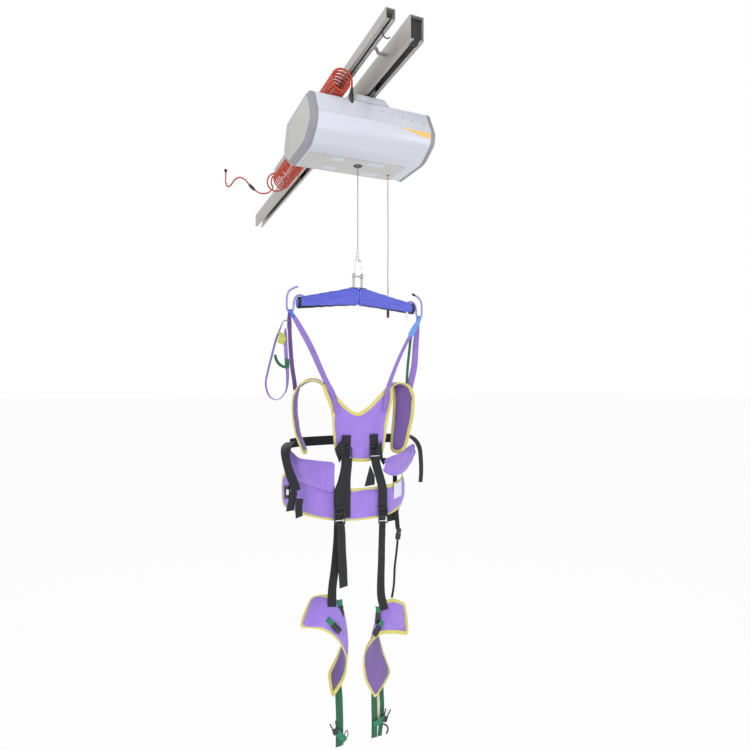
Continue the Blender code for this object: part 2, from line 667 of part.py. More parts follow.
def casing(trolley):
    lift = 2 * GAP / 3
    shoulder = [(y, max(z, CASE_SEAM + lift)) for y, z in CASE_SHOULDER]
    belly = [(y, min(z, CASE_SEAM - lift)) for y, z in CASE_BELLY]
    upper = mirrored(shoulder)[::-1] + tuple(shoulder)
    lower = tuple(belly) + mirrored(belly)[::-1]
    shells = {}
    for name, path in (("upper_cover", upper), ("lower_cover", lower)):
        inner = offset(path, CASE_WALL)
        inner[0].y = path[0][1]
        inner[-1].y = path[-1][1]
        outline = [tuple(p) for p in path] + [tuple(p) for p in inner[::-1]]
        shells[name] = as_mesh(extruded(name, outline, "X", -CASE_HALF, CASE_HALF))
    slot_x = BEAM_THICK / 2 + RUNNING
    slot_y = STEM_HALF + RUNNING
    stem_slot = box("stem_slot", (-slot_x, -slot_y, CASE_TOP - CUT_PAST),
                    (slot_x, slot_y, CASE_TOP + CUT_PAST))
    gland_hole = upright("gland_hole", GLAND, GLAND_BOTTOM - CUT_PAST, GLAND_TOP + CUT_PAST,
                         GLAND_RADIUS + GAP)
    put(cut(shells["upper_cover"], stem_slot, gland_hole), "casing", trolley)
    low = CASE_BOTTOM - CUT_PAST
    high = CASE_BOTTOM + CUT_PAST
    bush_hole = upright("bush_hole", (0, 0), low, high, BUSH_RADIUS + GAP)
    cord_hole = upright("cord_hole", (CORD_X, CORD_Y), low, high, CORD_HOLE)
    put(cut(shells["lower_cover"], bush_hole, cord_hole), "casing", trolley)

    ring = list(mirrored(CASE_SHOULDER)[::-1]) + list(CASE_SHOULDER) + list(CASE_BELLY[1:])
    ring += list(mirrored(CASE_BELLY[1:])[::-1])
    start = CASE_HALF + GAP
    stations = ((CAP_END - CASE_WALL, CAP_INSET + CASE_WALL), (CAP_RIM - CASE_WALL / 3, CASE_WALL),
                (start, CASE_WALL), (start, 0.0), (CAP_RIM, 0.0), (CAP_END, CAP_INSET))
    for name, side in (("end_cap_left", -1), ("end_cap_right", 1)):
        rings = [[(side * x, *p) for p in shrunk(ring, inset)] for x, inset in stations]
        put(loft(name, rings), "end_face", trolley)

    base = CASE_TOP + GAP
    slopes = [(SADDLE_BASE_X[0], base), (SADDLE_TOP_X[0], SADDLE_TOP), (SADDLE_TOP_X[1], SADDLE_TOP),
              (SADDLE_BASE_X[1], base)]
    saddle = as_mesh(extruded("hanger_cover", slopes, "Y", -SADDLE_HALF_Y, SADDLE_HALF_Y))
    inner = offset(slopes, CASE_WALL)
    foot = base - CUT_PAST / 2
    inner = [(inner[0].x, foot)] + [tuple(p) for p in inner[1:3]] + [(inner[3].x, foot)]
    hollow_half = SADDLE_HALF_Y - CASE_WALL
    hollow = as_mesh(extruded("saddle_hollow", inner, "Y", -hollow_half, hollow_half))
    slot = box("saddle_slot", (-slot_x, -slot_y, SADDLE_TOP - CUT_PAST),
               (slot_x, slot_y, SADDLE_TOP + CUT_PAST))
    put(cut(saddle, hollow, slot), "casing", trolley)

    bush = [(BUSH_BORE, CASE_BOTTOM + CASE_WALL), (BUSH_RADIUS, CASE_BOTTOM + CASE_WALL),
            (BUSH_RADIUS, CASE_BOTTOM - BUSH_DROP), (BUSH_BORE, CASE_BOTTOM - BUSH_DROP),
            (BUSH_BORE, CASE_BOTTOM + CASE_WALL)]
    put(turned("rope_bush", bush, (0, 0, 0)), "dark_plastic", trolley)
    bore = CABLE_RADIUS + GLAND_GAP
    gland = [(bore, GLAND_TOP), (GLAND_RADIUS, GLAND_TOP), (GLAND_RADIUS, GLAND_BOTTOM),
             (bore, GLAND_BOTTOM), (bore, GLAND_TOP)]
    put(turned("cable_gland", gland, (*GLAND, 0.0)), "dark_plastic", trolley)


def shrunk(ring, inset):
    # A closed outline, given clockwise, moved inwards by a distance.
    if not inset:
        return ring
    looped = [ring[-1], *ring, ring[0]]
    return [tuple(p) for p in offset(looped, inset)[1:-1]]


def pull_cord_pieces(carrier):
    middle = (CORD_X, CORD_Y)
    cord = upright("pull_cord", middle, TOGGLE_TOP + GAP, CORD_TOP, CORD_RADIUS, ROPE_SIDES)
    put(cord, "dark_plastic", carrier)
    tall = TOGGLE_TOP - TOGGLE_BOTTOM
    profile = [(0.0, TOGGLE_TOP), (0.0035, TOGGLE_TOP), (TOGGLE_RADIUS * 0.85, TOGGLE_TOP - 0.2 * tall),
               (TOGGLE_RADIUS, TOGGLE_TOP - 0.6 * tall), (TOGGLE_RADIUS * 0.8, TOGGLE_TOP - 0.92 * tall),
               (0.003, TOGGLE_BOTTOM), (0.0, TOGGLE_BOTTOM)]
    put(turned("pull_toggle", profile, (*middle, 0.0)), "red_plastic", carrier)


def rope_end(lift, swivel):
    put(upright("rope", (0, 0), ROPE_END + GAP, DRUM_Z, ROPE_RADIUS, ROPE_SIDES), "rope_white", lift)
    ferrule = [(0.0, ROPE_END), (FERRULE_RADIUS, ROPE_END), (FERRULE_RADIUS, FERRULE_FOOT),
               (STEM_RADIUS, FERRULE_FOOT), (STEM_RADIUS, HEAD_TOP), (FERRULE_RADIUS, HEAD_TOP),
               (FERRULE_RADIUS, HEAD_BOTTOM), (0.0, HEAD_BOTTOM)]
    put(turned("rope_ferrule", ferrule, (0, 0, 0)), "steel", lift)
    arch = BAIL_TOP - BAIL_HALF
    arc = [(-BAIL_HALF * math.cos(t), 0, arch + BAIL_HALF * math.sin(t)) for t in spread(0.0, math.pi, 11)]
    route = [(-BAIL_HALF, 0, PIN_Z), *arc, (BAIL_HALF, 0, PIN_Z)]
    bail = as_mesh(tube("shackle_bail", route, BAIL_ROD))
    collar = upright("bail_collar", (0, 0), COLLAR_BOTTOM, COLLAR_TOP, COLLAR_RADIUS)
    eyes = [along_x(f"bail_eye_{side}", side * BAIL_HALF - EYE_HALF, side * BAIL_HALF + EYE_HALF, 0, PIN_Z,
                    EYE_RADIUS) for side in (-1, 1)]
    pin_hole = along_x("bail_pin_hole", -CUT_PAST, CUT_PAST, 0, PIN_Z, PIN_RADIUS + GAP)
    swivel_hole = upright("swivel_hole", (0, 0), COLLAR_BOTTOM - CUT_PAST / 4, COLLAR_TOP + CUT_PAST / 4,
                          COLLAR_BORE)
    put(cut(join(bail, collar, *eyes), pin_hole, swivel_hole), "steel", swivel)


def bar_line(x):
    # Height of the spreader bar's axis.
    return BAR_Z - BAR_SLOPE * (math.hypot(x, BAR_BEND) - BAR_BEND)


def bar_ring(x, half_y, half_z, sides=ROUND):
    turns = [2 * math.pi * step / sides for step in range(sides)]
    return [(x, half_y * math.cos(t), bar_line(x) + half_z * math.sin(t)) for t in turns]


def hook_route():
    # The right-hand hook's rod, from where it rests on the bar, round the cradle and back over the sleeve.
    rest = bar_line(BAR_HALF + HOOK_FOOT_ROUTE[0][0]) + BAR_RADIUS + ROD_RADIUS
    foot = [(BAR_HALF + past, rest + height) for past, height in HOOK_FOOT_ROUTE]
    return foot + [(BAR_HALF + past, CRADLE_Z + height) for past, height in HOOK_LOOP_ROUTE]


def spread(start, end, count):
    return [start + (end - start) * step / (count - 1) for step in range(count)]


def spreader(carrier):
    base = BAR_Z + BAR_RADIUS + GAP
    outline = [(-FORK_OUTER, base), (FORK_OUTER, base), (FORK_OUTER, FORK_TOP), (FORK_INNER, FORK_TOP),
               (FORK_INNER, base + FORK_BRIDGE), (-FORK_INNER, base + FORK_BRIDGE), (-FORK_INNER, FORK_TOP),
               (-FORK_OUTER, FORK_TOP)]
    fork = as_mesh(extruded("clevis_fork", outline, "Y", -FORK_HALF_Y, FORK_HALF_Y))
    hole = along_x("fork_pin_hole", -CUT_PAST - FORK_OUTER, CUT_PAST + FORK_OUTER, 0, PIN_Z, PIN_RADIUS + GAP)
    put(cut(fork, hole), "steel", carrier)
    knob = FORK_OUTER + GAP
    end = knob + KNOB_THICK
    half = [(0.0, end), (KNOB_RADIUS, end), (KNOB_RADIUS, knob), (PIN_RADIUS, knob)]
    profile = half + [(radius, -along) for radius, along in reversed(half)]
    put(turned("fork_pin", profile, (0, 0, PIN_Z), "X"), "steel", carrier)
    stations = spread(-BAR_HALF, BAR_HALF, BAR_STATIONS)
    put(loft("spreader_bar", [bar_ring(x, BAR_RADIUS, BAR_RADIUS) for x in stations]), "steel", carrier)

    foot = BAR_Z + BAR_RADIUS - GAP
    top = foot + NOTCH_TALL
    notch = [(-NOTCH_FOOT, foot), (NOTCH_FOOT, foot), (NOTCH_TOP, top), (-NOTCH_TOP, top)]
    for name, side in (("sleeve_left", -1), ("sleeve_right", 1)):
        outer = []
        inner = []
        for x in spread(GAP, SLEEVE_HALF, SLEEVE_STATIONS):
            share = x / SLEEVE_HALF
            tall = SLEEVE_HEIGHTS[0] + (SLEEVE_HEIGHTS[1] - SLEEVE_HEIGHTS[0]) * share
            deep = SLEEVE_DEPTHS[0] + (SLEEVE_DEPTHS[1] - SLEEVE_DEPTHS[0]) * share
            outer.append(bar_ring(side * x, deep, tall))
            inner.append(bar_ring(side * x, BAR_RADIUS + GAP, BAR_RADIUS + GAP))
        sleeve = loft(name, outer + inner[::-1], closed=True)
        opening = as_mesh(extruded(f"{name}_notch", notch, "Y", -NOTCH_HALF_Y, NOTCH_HALF_Y))
        slot_route = [(side * x, 0.0, z) for x, z in smooth(hook_route()[:HOOK_SLOT_POINTS], 3)]
        slot_route.insert(0, (slot_route[0][0] - side * 0.002, 0.0, slot_route[0][2]))
        slot = as_mesh(tube(f"{name}_slot", slot_route, ROD_SLOT))
        put(cut(sleeve, opening, slot), "blue_cover", carrier)
    for name, side in (("hook_left", -1), ("hook_right", 1)):
        route = [(side * x, 0.0, z) for x, z in smooth(hook_route(), 3)]
        put(tube(name, route, ROD_RADIUS), "hook_rod", carrier)


def hip_y(x):
    # The line of the hips in plan: nearly flat in front, curling back at both sides.
    return HIP_FRONT + HIP_DEPTH * abs(x / HIP_HALF) ** HIP_POWER


def belt_top(x):
    return BELT_TOP + BELT_RISE_TOP * (x / HIP_HALF) ** 2


def hip_panel(name, stations, top, bottom, thick, shade, carrier):
    upper = [(x, hip_y(x), top(x)) for x in stations]
    lower = [(x, hip_y(x), bottom(x)) for x in stations]
    put(band(name, upper, lower, thick), shade, carrier)


def riser(name, side, front, rear, harness):
    # Webbing from the front panel, over the hook's cradle and down to the shoulder band behind.
    wrap = [(side * CRADLE_X, -WRAP_RADIUS * math.cos(t), CRADLE_Z + WRAP_RADIUS * math.sin(t))
            for t in spread(0.0, math.pi, 7)]
    narrow = [WRAP_HALF] * len(wrap)
    centre = [p[:3] for p in front] + wrap + [p[:3] for p in rear]
    halves = [p[3] for p in front] + narrow + [p[3] for p in rear]
    edge_a = [(p[0] - half, p[1], p[2]) for p, half in zip(centre, halves)]
    edge_b = [(p[0] + half, p[1], p[2]) for p, half in zip(centre, halves)]
    put(band(name, edge_a, edge_b, WEBBING), "purple", harness)


def hang_line(z):
    # The straight line from the hook's cradle to the shoulder band, as a distance from the middle.
    share = min(1.0, (CRADLE_Z - z) / (CRADLE_Z - SHOULDER_Z))
    return CRADLE_X + (SHOULDER_X - CRADLE_X) * share


def vest_front():
    # Where a strap's middle lies when it is sewn on the front of the vest.
    return VEST_Y - PAD / 2 - WEBBING / 2 - GAP


def upper_body(harness):
    low = vest_front()
    left_side = [(-0.159, -1.163), (-0.138, -1.219), (-0.116, -1.274), (-0.107, -1.369), (-0.100, -1.427),
                 (-0.088, -1.459), (-0.030, -1.477)]
    right_side = [(0.045, -1.481), (0.098, -1.461), (0.116, -1.397), (0.124, -1.335), (0.137, -1.280),
                  (0.150, -1.231), (0.148, -1.184)]
    neckline = [(0.126, -1.182), (0.084, -1.226), (0.036, -1.269), (-0.005, -1.288), (-0.046, -1.268),
                (-0.088, -1.227), (-0.138, -1.167)]
    outline = left_side + right_side + neckline
    put(extruded("vest_panel", outline, "Y", VEST_Y - PAD / 2, VEST_Y + PAD / 2), "purple", harness)

    under = CRADLE_Z - 0.0265
    left_front = [(-0.113, low, -1.268, 0.010), (-0.124, low, -1.215, 0.011), (-0.150, low, -1.160, 0.012),
                  (-0.205, -0.014, -1.023, 0.011), (0.014 - CRADLE_X, -0.012, under, 0.006)]
    left_rear = [(-hang_line(z) - past, y, z, half)
                 for past, y, z, half in ((0.002, 0.013, under, 0.006), (0.0053, 0.024, -1.000, 0.010),
                                          (0.0085, 0.026, -1.100, 0.012), (0.0, 0.029, SHOULDER_Z, 0.012))]
    right_front = [(0.113, low, -1.268, 0.010), (0.119, low, -1.215, 0.011), (0.133, low, -1.170, 0.012),
                   (0.188, -0.014, -1.040, 0.011), (CRADLE_X - 0.016, -0.012, under, 0.006)]
    right_rear = [(CRADLE_X, 0.013, under, 0.006), (0.268, 0.024, -1.000, 0.012),
                  (0.262, 0.026, -1.100, 0.014), (0.2440, 0.030, -1.1770, 0.014)]
    riser("riser_left", -1, left_front, left_rear, harness)
    riser("riser_right", 1, right_front, right_rear, harness)

    behind = VEST_Y + PAD / 2 + 0.0032
    left_outer = [(-0.138, behind, -1.190), (-0.168, behind - 0.002, -1.166), (-0.210, -0.008, -1.161),
                  (-0.250, -0.016, -1.180), (-0.272, -0.020, -1.215), (-0.275, -0.020, -1.290),
                  (-0.263, -0.020, -1.362), (-0.232, -0.018, -1.4398)]
    left_inner = [(-0.112, 0.055, -1.180), (-0.140, 0.065, -1.156), (-0.180, 0.065, -1.153),
                  (-0.212, 0.062, -1.172), (-0.230, 0.060, -1.206), (-0.232, 0.060, -1.290),
                  (-0.222, 0.058, -1.362), (-0.192, 0.055, -1.4398)]
    put(band("wing_left", left_outer, left_inner, PAD), "purple", harness)
    right_outer = [(0.135, behind, -1.200), (0.160, behind - 0.002, -1.176), (0.195, -0.006, -1.172),
                   (0.240, -0.008, -1.182), (0.262, -0.010, -1.215), (0.262, -0.010, -1.290),
                   (0.240, -0.010, -1.372), (0.212, -0.008, -1.4585)]
    right_inner = [(0.116, 0.055, -1.192), (0.142, 0.065, -1.168), (0.172, 0.068, -1.166),
                   (0.204, 0.068, -1.176), (0.224, 0.066, -1.206), (0.226, 0.066, -1.290),
                   (0.208, 0.064, -1.372), (0.180, 0.055, -1.4585)]
    put(band("wing_right", right_outer, right_inner, PAD), "purple", harness)

    # The slack loop hangs outside the left riser: (distance past the line that the riser hangs on, Y, Z)
    loop_route = [(0.0092, 0.008, -0.930), (0.0278, 0.000, -0.933), (0.0483, -0.008, -0.964),
                  (0.0687, -0.010, -1.004), (0.090, -0.010, -1.060), (0.113, -0.010, -1.123),
                  (0.1265, -0.010, -1.175), (0.1105, -0.010, -1.219), (0.0815, -0.010, -1.230),
                  (0.0525, -0.010, -1.203), (0.0409, -0.010, -1.149), (0.0375, -0.010, -1.074),
                  (0.0323, -0.010, -1.000), (0.0271, -0.008, -0.962)]
    edges = [[(-hang_line(z) - past, y + shift, z) for past, y, z in loop_route]
             for shift in (-0.009, 0.009)]
    put(band("loop_strap", edges[0], edges[1], WEBBING), "purple", harness)


def hips(harness):
    left_end = LEFT_PAD[0]
    right_end = RIGHT_PAD[1]

    def left_top(x):
        return LEFT_PAD_TOP - LEFT_PAD_FALL * (x - left_end)

    def left_bottom(x):
        return belt_top(x) + GAP

    def right_top(x):
        rise = RIGHT_PAD_RISE * min(1.0, (x - RIGHT_PAD[0]) / 0.085)
        return RIGHT_PAD_TOP + rise + RIGHT_PAD_LIFT * max(0.0, 1.0 - (right_end - x) / 0.036)

    def right_bottom(x):
        return belt_top(x) + GAP + RIGHT_PAD_FOOT_BEND * (x - RIGHT_PAD_FOOT_X) ** 2

    def belt_bottom(x):
        return BELT_BOTTOM + BELT_RISE_BOTTOM * (x / HIP_HALF) ** 2

    hip_panel("hip_pad_left", spread(*LEFT_PAD, 6), left_top, left_bottom, PAD, "purple", harness)
    hip_panel("hip_pad_right", spread(*RIGHT_PAD, 7), right_top, right_bottom, PAD, "purple", harness)
    hip_panel("pelvic_belt", spread(*BELT_ENDS, 15), belt_top, belt_bottom, BELT_PAD, "purple", harness)
    low = [(left_end, hip_y(left_end), left_top(left_end) + GAP), (-0.236, 0.106, -1.428),
           (-0.200, 0.117, -1.427), (-0.100, 0.124, -1.426), (0.0, 0.125, -1.426), (0.100, 0.124, -1.427),
           (0.200, 0.117, -1.428), (0.245, 0.105, -1.430),
           (right_end, hip_y(right_end), right_top(right_end) + GAP)]
    high = [(x, y, z + WAIST_STRAP_WIDTH) for x, y, z in low]
    put(band("waist_strap", high, low, WEBBING), "black_webbing", harness)


def leg_pieces(side_name, x_top, strap_low, front_edge, rear_edge, green, harness, leg):
    # One side's webbing from the front panel to the belt, then the leg strap, cuff and lower strap.
    y_top = vest_front()
    x_belt = LEG_STRAP_X[side_name]
    across = x_belt - x_top
    centre = [(x_top, y_top, -1.376), (x_top + 0.1 * across, y_top - 0.002, -1.440),
              (x_top + 0.2 * across, y_top - 0.013, -1.492), (x_top + 0.6 * across, -0.044, -1.545),
              (x_belt, LEG_STRAP_Y, -1.590), (x_belt, LEG_STRAP_Y, -1.650),
              (x_belt, LEG_STRAP_Y, LEG_HINGE_Z + GAP)]
    put(strap(f"front_strap_{side_name}", centre, FRONT_STRAP_HALF), "black_webbing", harness)
    lower = [(x_belt, LEG_STRAP_Y, LEG_HINGE_Z - GAP), (x_belt, LEG_STRAP_Y, LEG_HINGE_Z - 0.020), *strap_low]
    put(strap(f"leg_strap_{side_name}", lower, LEG_STRAP_HALF), "black_webbing", leg)
    put(band(f"cuff_{side_name}", front_edge, rear_edge, PAD), "purple", leg)
    put(strap(f"green_strap_{side_name}", green, GREEN_STRAP_HALF), "green_webbing", leg)


def legs(harness, leg_left, leg_right):
    front = [(-0.242, -0.020, -2.091), (-0.172, -0.046, -2.102), (-0.111, -0.055, -2.147),
             (-0.068, -0.050, -2.235), (-0.069, -0.030, -2.318), (-0.105, 0.000, -2.392)]
    rear = [(-0.179, 0.030, -2.011), (-0.125, 0.006, -1.994), (-0.066, 0.010, -2.045),
            (-0.035, 0.035, -2.143), (-0.045, 0.060, -2.245), (-0.098, 0.055, -2.340)]
    leg_pieces("left", -0.055,
               [(-0.107, -0.042, -1.800), (-0.112, -0.022, -1.900), (-0.116, -0.002, -1.9978)],
               front, rear, [(-0.088, 0.020, -2.3780), (-0.088, 0.018, -2.480), (-0.088, 0.015, -2.613)],
               harness, leg_left)
    front = [(0.205, -0.030, -2.200), (0.119, -0.050, -2.165), (0.060, -0.062, -2.162),
             (0.012, -0.050, -2.223), (0.020, -0.030, -2.333), (0.077, 0.000, -2.432)]
    rear = [(0.220, 0.030, -2.097), (0.137, 0.004, -2.058), (0.089, 0.006, -2.075),
            (0.094, 0.040, -2.150), (0.135, 0.060, -2.280), (0.160, 0.060, -2.395)]
    leg_pieces("right", 0.062,
               [(0.088, -0.042, -1.830), (0.094, -0.022, -1.950), (0.104, 0.000, -2.0562)],
               front, rear, [(0.080, 0.004, -2.4325), (0.079, 0.008, -2.500), (0.078, 0.010, -2.613)],
               harness, leg_right)


trolley = joint("trolley_travel", (0, 0, wheel_z()))
wheel_joints = {name: joint(f"{name}_axis", (0, y, wheel_z()))
                for name, y in (("wheel_set_front", -WHEEL_Y), ("wheel_set_rear", WHEEL_Y))}
glider_joints = {name: joint(f"{name}_travel", (CABLE_RAIL_X, y, -CABLE_RAIL_HEIGHT / 2))
                 for name, y in GLIDERS.items()}
drum_axis = joint("rope_drum_axis", (0, DRUM_Y, DRUM_Z))
cord_joint = joint("pull_cord_travel", (CORD_X, CORD_Y, CASE_BOTTOM))
lift_joint = joint("lift", (0, 0, ROPE_END))
swivel_joint = joint("swivel", (0, 0, BAIL_TOP))
rock_joint = joint("spreader_rock", (0, 0, PIN_Z))
harness_joint = joint("harness_swing", (0, 0, CRADLE_Z))
left_leg = joint("left_leg_swing", (LEG_STRAP_X["left"], LEG_STRAP_Y, LEG_HINGE_Z))
right_leg = joint("right_leg_swing", (LEG_STRAP_X["right"], LEG_STRAP_Y, LEG_HINGE_Z))

rails()
cable_fittings(glider_joints)
supply_cable(trolley)
for wheel_name, wheel_y in (("wheel_set_front", -WHEEL_Y), ("wheel_set_rear", WHEEL_Y)):
    wheel_set(wheel_name, wheel_y, wheel_joints[wheel_name])
trolley_gear(trolley)
rope_drum(drum_axis)
casing(trolley)
pull_cord_pieces(cord_joint)
rope_end(lift_joint, swivel_joint)
spreader(rock_joint)
upper_body(harness_joint)
hips(harness_joint)
legs(harness_joint, left_leg, right_leg)
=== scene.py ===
# The looks of a ceiling-rail walking hoist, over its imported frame: rail, hoist, spreader bar and harness
import math
from itertools import accumulate

import bmesh
import bpy
import numpy as np
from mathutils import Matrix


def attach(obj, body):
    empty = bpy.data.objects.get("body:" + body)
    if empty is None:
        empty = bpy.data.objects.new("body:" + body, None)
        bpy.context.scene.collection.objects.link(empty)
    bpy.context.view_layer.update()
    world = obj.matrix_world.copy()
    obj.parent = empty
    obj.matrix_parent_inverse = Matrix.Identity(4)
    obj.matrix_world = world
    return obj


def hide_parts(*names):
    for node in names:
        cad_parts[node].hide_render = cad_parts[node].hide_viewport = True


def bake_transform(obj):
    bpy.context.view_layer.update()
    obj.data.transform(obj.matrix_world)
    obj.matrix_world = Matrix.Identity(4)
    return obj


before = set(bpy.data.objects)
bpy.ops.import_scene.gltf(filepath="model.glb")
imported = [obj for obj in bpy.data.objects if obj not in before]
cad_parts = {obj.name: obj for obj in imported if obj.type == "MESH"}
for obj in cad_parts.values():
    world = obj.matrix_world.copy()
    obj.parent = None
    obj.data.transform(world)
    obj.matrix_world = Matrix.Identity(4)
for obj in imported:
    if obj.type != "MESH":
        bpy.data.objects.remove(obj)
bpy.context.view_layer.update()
turn = 2 * math.pi


# Lines and outlines

def unit(rows):
    # Every row made one long
    return rows / np.maximum(np.linalg.norm(rows, axis=-1, keepdims=True), 1e-12)


def routed(points, step=0.004, closed=False):
    # A smooth line through the points: cubic pieces whose slope at a point is the mean of the slopes on its
    # two sides, the nearer one counting more. It is read at equal lengths; further columns come along.
    given = np.asarray(points, float)
    if closed:
        given = np.vstack([given[-3:], given, given[:3]])
    gap = np.linalg.norm(np.diff(given[:, :3], axis=0), axis=1)[:, None] ** 0.5
    slope = np.diff(given, axis=0) / gap
    inner = (slope[:-1] * gap[1:] + slope[1:] * gap[:-1]) / (gap[:-1] + gap[1:])
    lean = np.vstack([slope[:1], inner, slope[-1:]])
    t = np.linspace(0, 1, 16, endpoint=False)[None, :, None]
    a = given[:-1, None]
    b = given[1:, None]
    fromA = (lean[:-1] * gap)[:, None]
    toB = (lean[1:] * gap)[:, None]
    fine = ((2 * t ** 3 - 3 * t ** 2 + 1) * a + (t ** 3 - 2 * t ** 2 + t) * fromA
            + (3 * t ** 2 - 2 * t ** 3) * b + (t ** 3 - t ** 2) * toB)
    if closed:
        line = np.vstack([fine[3:-2].reshape(-1, given.shape[1]), given[3:4]])
    else:
        line = np.vstack([fine.reshape(-1, given.shape[1]), given[-1:]])
    run = np.concatenate([[0], np.cumsum(np.linalg.norm(np.diff(line[:, :3], axis=0), axis=1))])
    at = np.linspace(0, run[-1], max(3, round(run[-1] / step) + 1))
    read = np.stack([np.interp(at, run, column) for column in line.T], axis=1)
    return read[:-1] if closed else read


def lengthOf(path):
    return float(np.linalg.norm(np.diff(path, axis=0), axis=1).sum())


def softened(corners, radius, steps=5):
    # A closed outline whose corners are swapped for short curves that start and end a radius away
    corner = np.asarray(corners, float)
    before = np.roll(corner, 1, 0) - corner
    after = np.roll(corner, -1, 0) - corner
    reach = np.minimum(np.reshape(radius, (-1, 1)), 0.48 * np.linalg.norm(before, axis=1)[:, None])
    reach = np.minimum(reach, 0.48 * np.linalg.norm(after, axis=1)[:, None])
    t = np.linspace(0, 1, steps)[None, :, None]
    start = (corner + unit(before) * reach)[:, None]
    end = (corner + unit(after) * reach)[:, None]
    return ((1 - t) ** 2 * start + 2 * t * (1 - t) * corner[:, None] + t ** 2 * end).reshape(-1, 2)


def drawnIn(loop, distance):
    # A closed outline moved inwards by a distance, square to its edges
    edge = unit(np.roll(loop, -1, 0) - loop)
    square = np.stack([-edge[:, 1], edge[:, 0]], 1)
    mean = unit(square + np.roll(square, 1, 0))
    area = (loop[:, 0] * np.roll(loop[:, 1], -1) - loop[:, 1] * np.roll(loop[:, 0], -1)).sum()
    stretch = 1 / np.maximum((mean * square).sum(1, keepdims=True), 0.5)
    return loop + mean * stretch * distance * np.sign(area)


def rounded(halfA, halfB, radius, steps=5, at=(0, 0)):
    # A rectangle with rounded corners, as (across, up)
    a, b = at
    corners = [(a - halfA, b - halfB), (a + halfA, b - halfB), (a + halfA, b + halfB), (a - halfA, b + halfB)]
    return softened(corners, radius, steps)


def circle(radius=1.0, sides=16):
    # Evenly spaced points round a circle, as (across, up)
    angle = np.arange(sides) * turn / sides
    return np.stack([radius * np.cos(angle), radius * np.sin(angle)], 1)


# Surfaces

def skin(points, loopU=False, loopV=True, capped=True, across=None):
    # A surface over a grid of points [along, round]. Its UV map is in metres: the distance across or round,
    # and the distance along. Doubled points are merged and the faces turned outwards.
    rows, cols = points.shape[:2]
    i = np.arange(rows if loopU else rows - 1)[:, None]
    j = np.arange(cols if loopV else cols - 1)[None, :]
    corners = ((i, j), (i + 1, j), (i + 1, j + 1), (i, j + 1))
    quads = np.stack([(u % rows) * cols + v % cols + 0 * (i + j) for u, v in corners], -1).reshape(-1, 4)
    wrapped = np.concatenate([points, points[:, :1]], axis=1)
    if across is None:
        around = np.linalg.norm(np.diff(wrapped, axis=1), axis=2).mean(axis=0)
        across = np.concatenate([[0], np.cumsum(around)])
    else:
        across = np.append(across, across[0])
    steps = np.linalg.norm(np.diff(np.concatenate([points, points[:1]]), axis=0), axis=2).mean(axis=1)
    along = np.concatenate([[0], np.cumsum(steps)])
    uv = np.stack([np.stack([across[v] + 0 * u, along[u] + 0 * v], -1) for u, v in corners], -2)
    flat = uv.reshape(-1, 2)
    faces = quads.tolist()
    if capped and not loopU:
        ends = (np.arange(cols)[::-1], np.arange(cols) + (rows - 1) * cols)
        faces += [end.tolist() for end in ends]
        flat = np.vstack([flat] + [np.stack([across[end % cols], along[end // cols]], 1) for end in ends])
    mesh = bpy.data.meshes.new("surface")
    mesh.from_pydata(points.reshape(-1, 3).tolist(), [], faces)
    mesh.uv_layers.new(name="metres").data.foreach_set("uv", flat.ravel())
    return cleaned(mesh)


def cleaned(mesh, merge=0.00002):
    # Doubled points merged and all faces outwards: a closed mesh whose volume comes out below nothing is
    # inside out, and is turned over
    work = bmesh.new()
    work.from_mesh(mesh)
    bmesh.ops.remove_doubles(work, verts=work.verts, dist=merge)
    bmesh.ops.dissolve_degenerate(work, dist=merge / 2, edges=work.edges)
    bmesh.ops.recalc_face_normals(work, faces=work.faces)
    if all(edge.is_manifold for edge in work.edges) and work.calc_volume(signed=True) < 0:
        bmesh.ops.reverse_faces(work, faces=work.faces)
    work.to_mesh(mesh)
    work.free()
    return mesh


def readAll(items, key):
    # A place or a direction of every point or face of a mesh, as the rows of an array
    flat = np.empty(len(items) * 3, np.float32)
    items.foreach_get(key, flat)
    return flat.reshape(-1, 3).astype(float)


def steadySide(path, start):
    # A sideways direction at each point, which turns no more than the path makes it
    tangent = unit(np.gradient(path, axis=0))
    follow = accumulate(tangent, lambda side, way: unit(side - way * (side @ way)),
                        initial=np.asarray(start, float))
    return np.array(list(follow))[1:]


def carried(path, side, profile, scale=1.0, closed=False):
    # A profile (across, up) carried along a path: place + side * across + (path's way x side) * up
    path = np.asarray(path, float)
    if closed:
        way = unit(np.roll(path, -1, 0) - np.roll(path, 1, 0))
    else:
        way = unit(np.gradient(path, axis=0))
    side = np.broadcast_to(np.asarray(side, float), path.shape)
    side = unit(side - way * (side * way).sum(-1, keepdims=True))
    up = np.cross(way, side)
    shape = profile[None] * np.reshape(scale, (-1, 1, np.shape(scale)[-1] if np.ndim(scale) == 2 else 1))
    return path[:, None] + side[:, None] * shape[..., :1] + up[:, None] * shape[..., 1:]


def rod(path, radius, sides=14, start=(0.3, 1.0, 0.2), domed=True):
    # A round bar along a path, with domed ends; the radius may be a list, one for each point
    path = np.asarray(path, float)
    radii = np.broadcast_to(np.asarray(radius, float), len(path))
    side = steadySide(path, start)
    if domed:
        bend = np.radians([82, 55, 28])
        first = path[0] - unit(path[1] - path[0]) * radii[0] * np.sin(bend)[:, None]
        last = path[-1] + unit(path[-1] - path[-2]) * radii[-1] * np.sin(bend[::-1])[:, None]
        path = np.vstack([first, path, last])
        radii = np.concatenate([radii[0] * np.cos(bend), radii, radii[-1] * np.cos(bend[::-1])])
        side = np.vstack([side[:1]] * 3 + [side] + [side[-1:]] * 3)
    return skin(carried(path, side, circle(1.0, sides), radii))


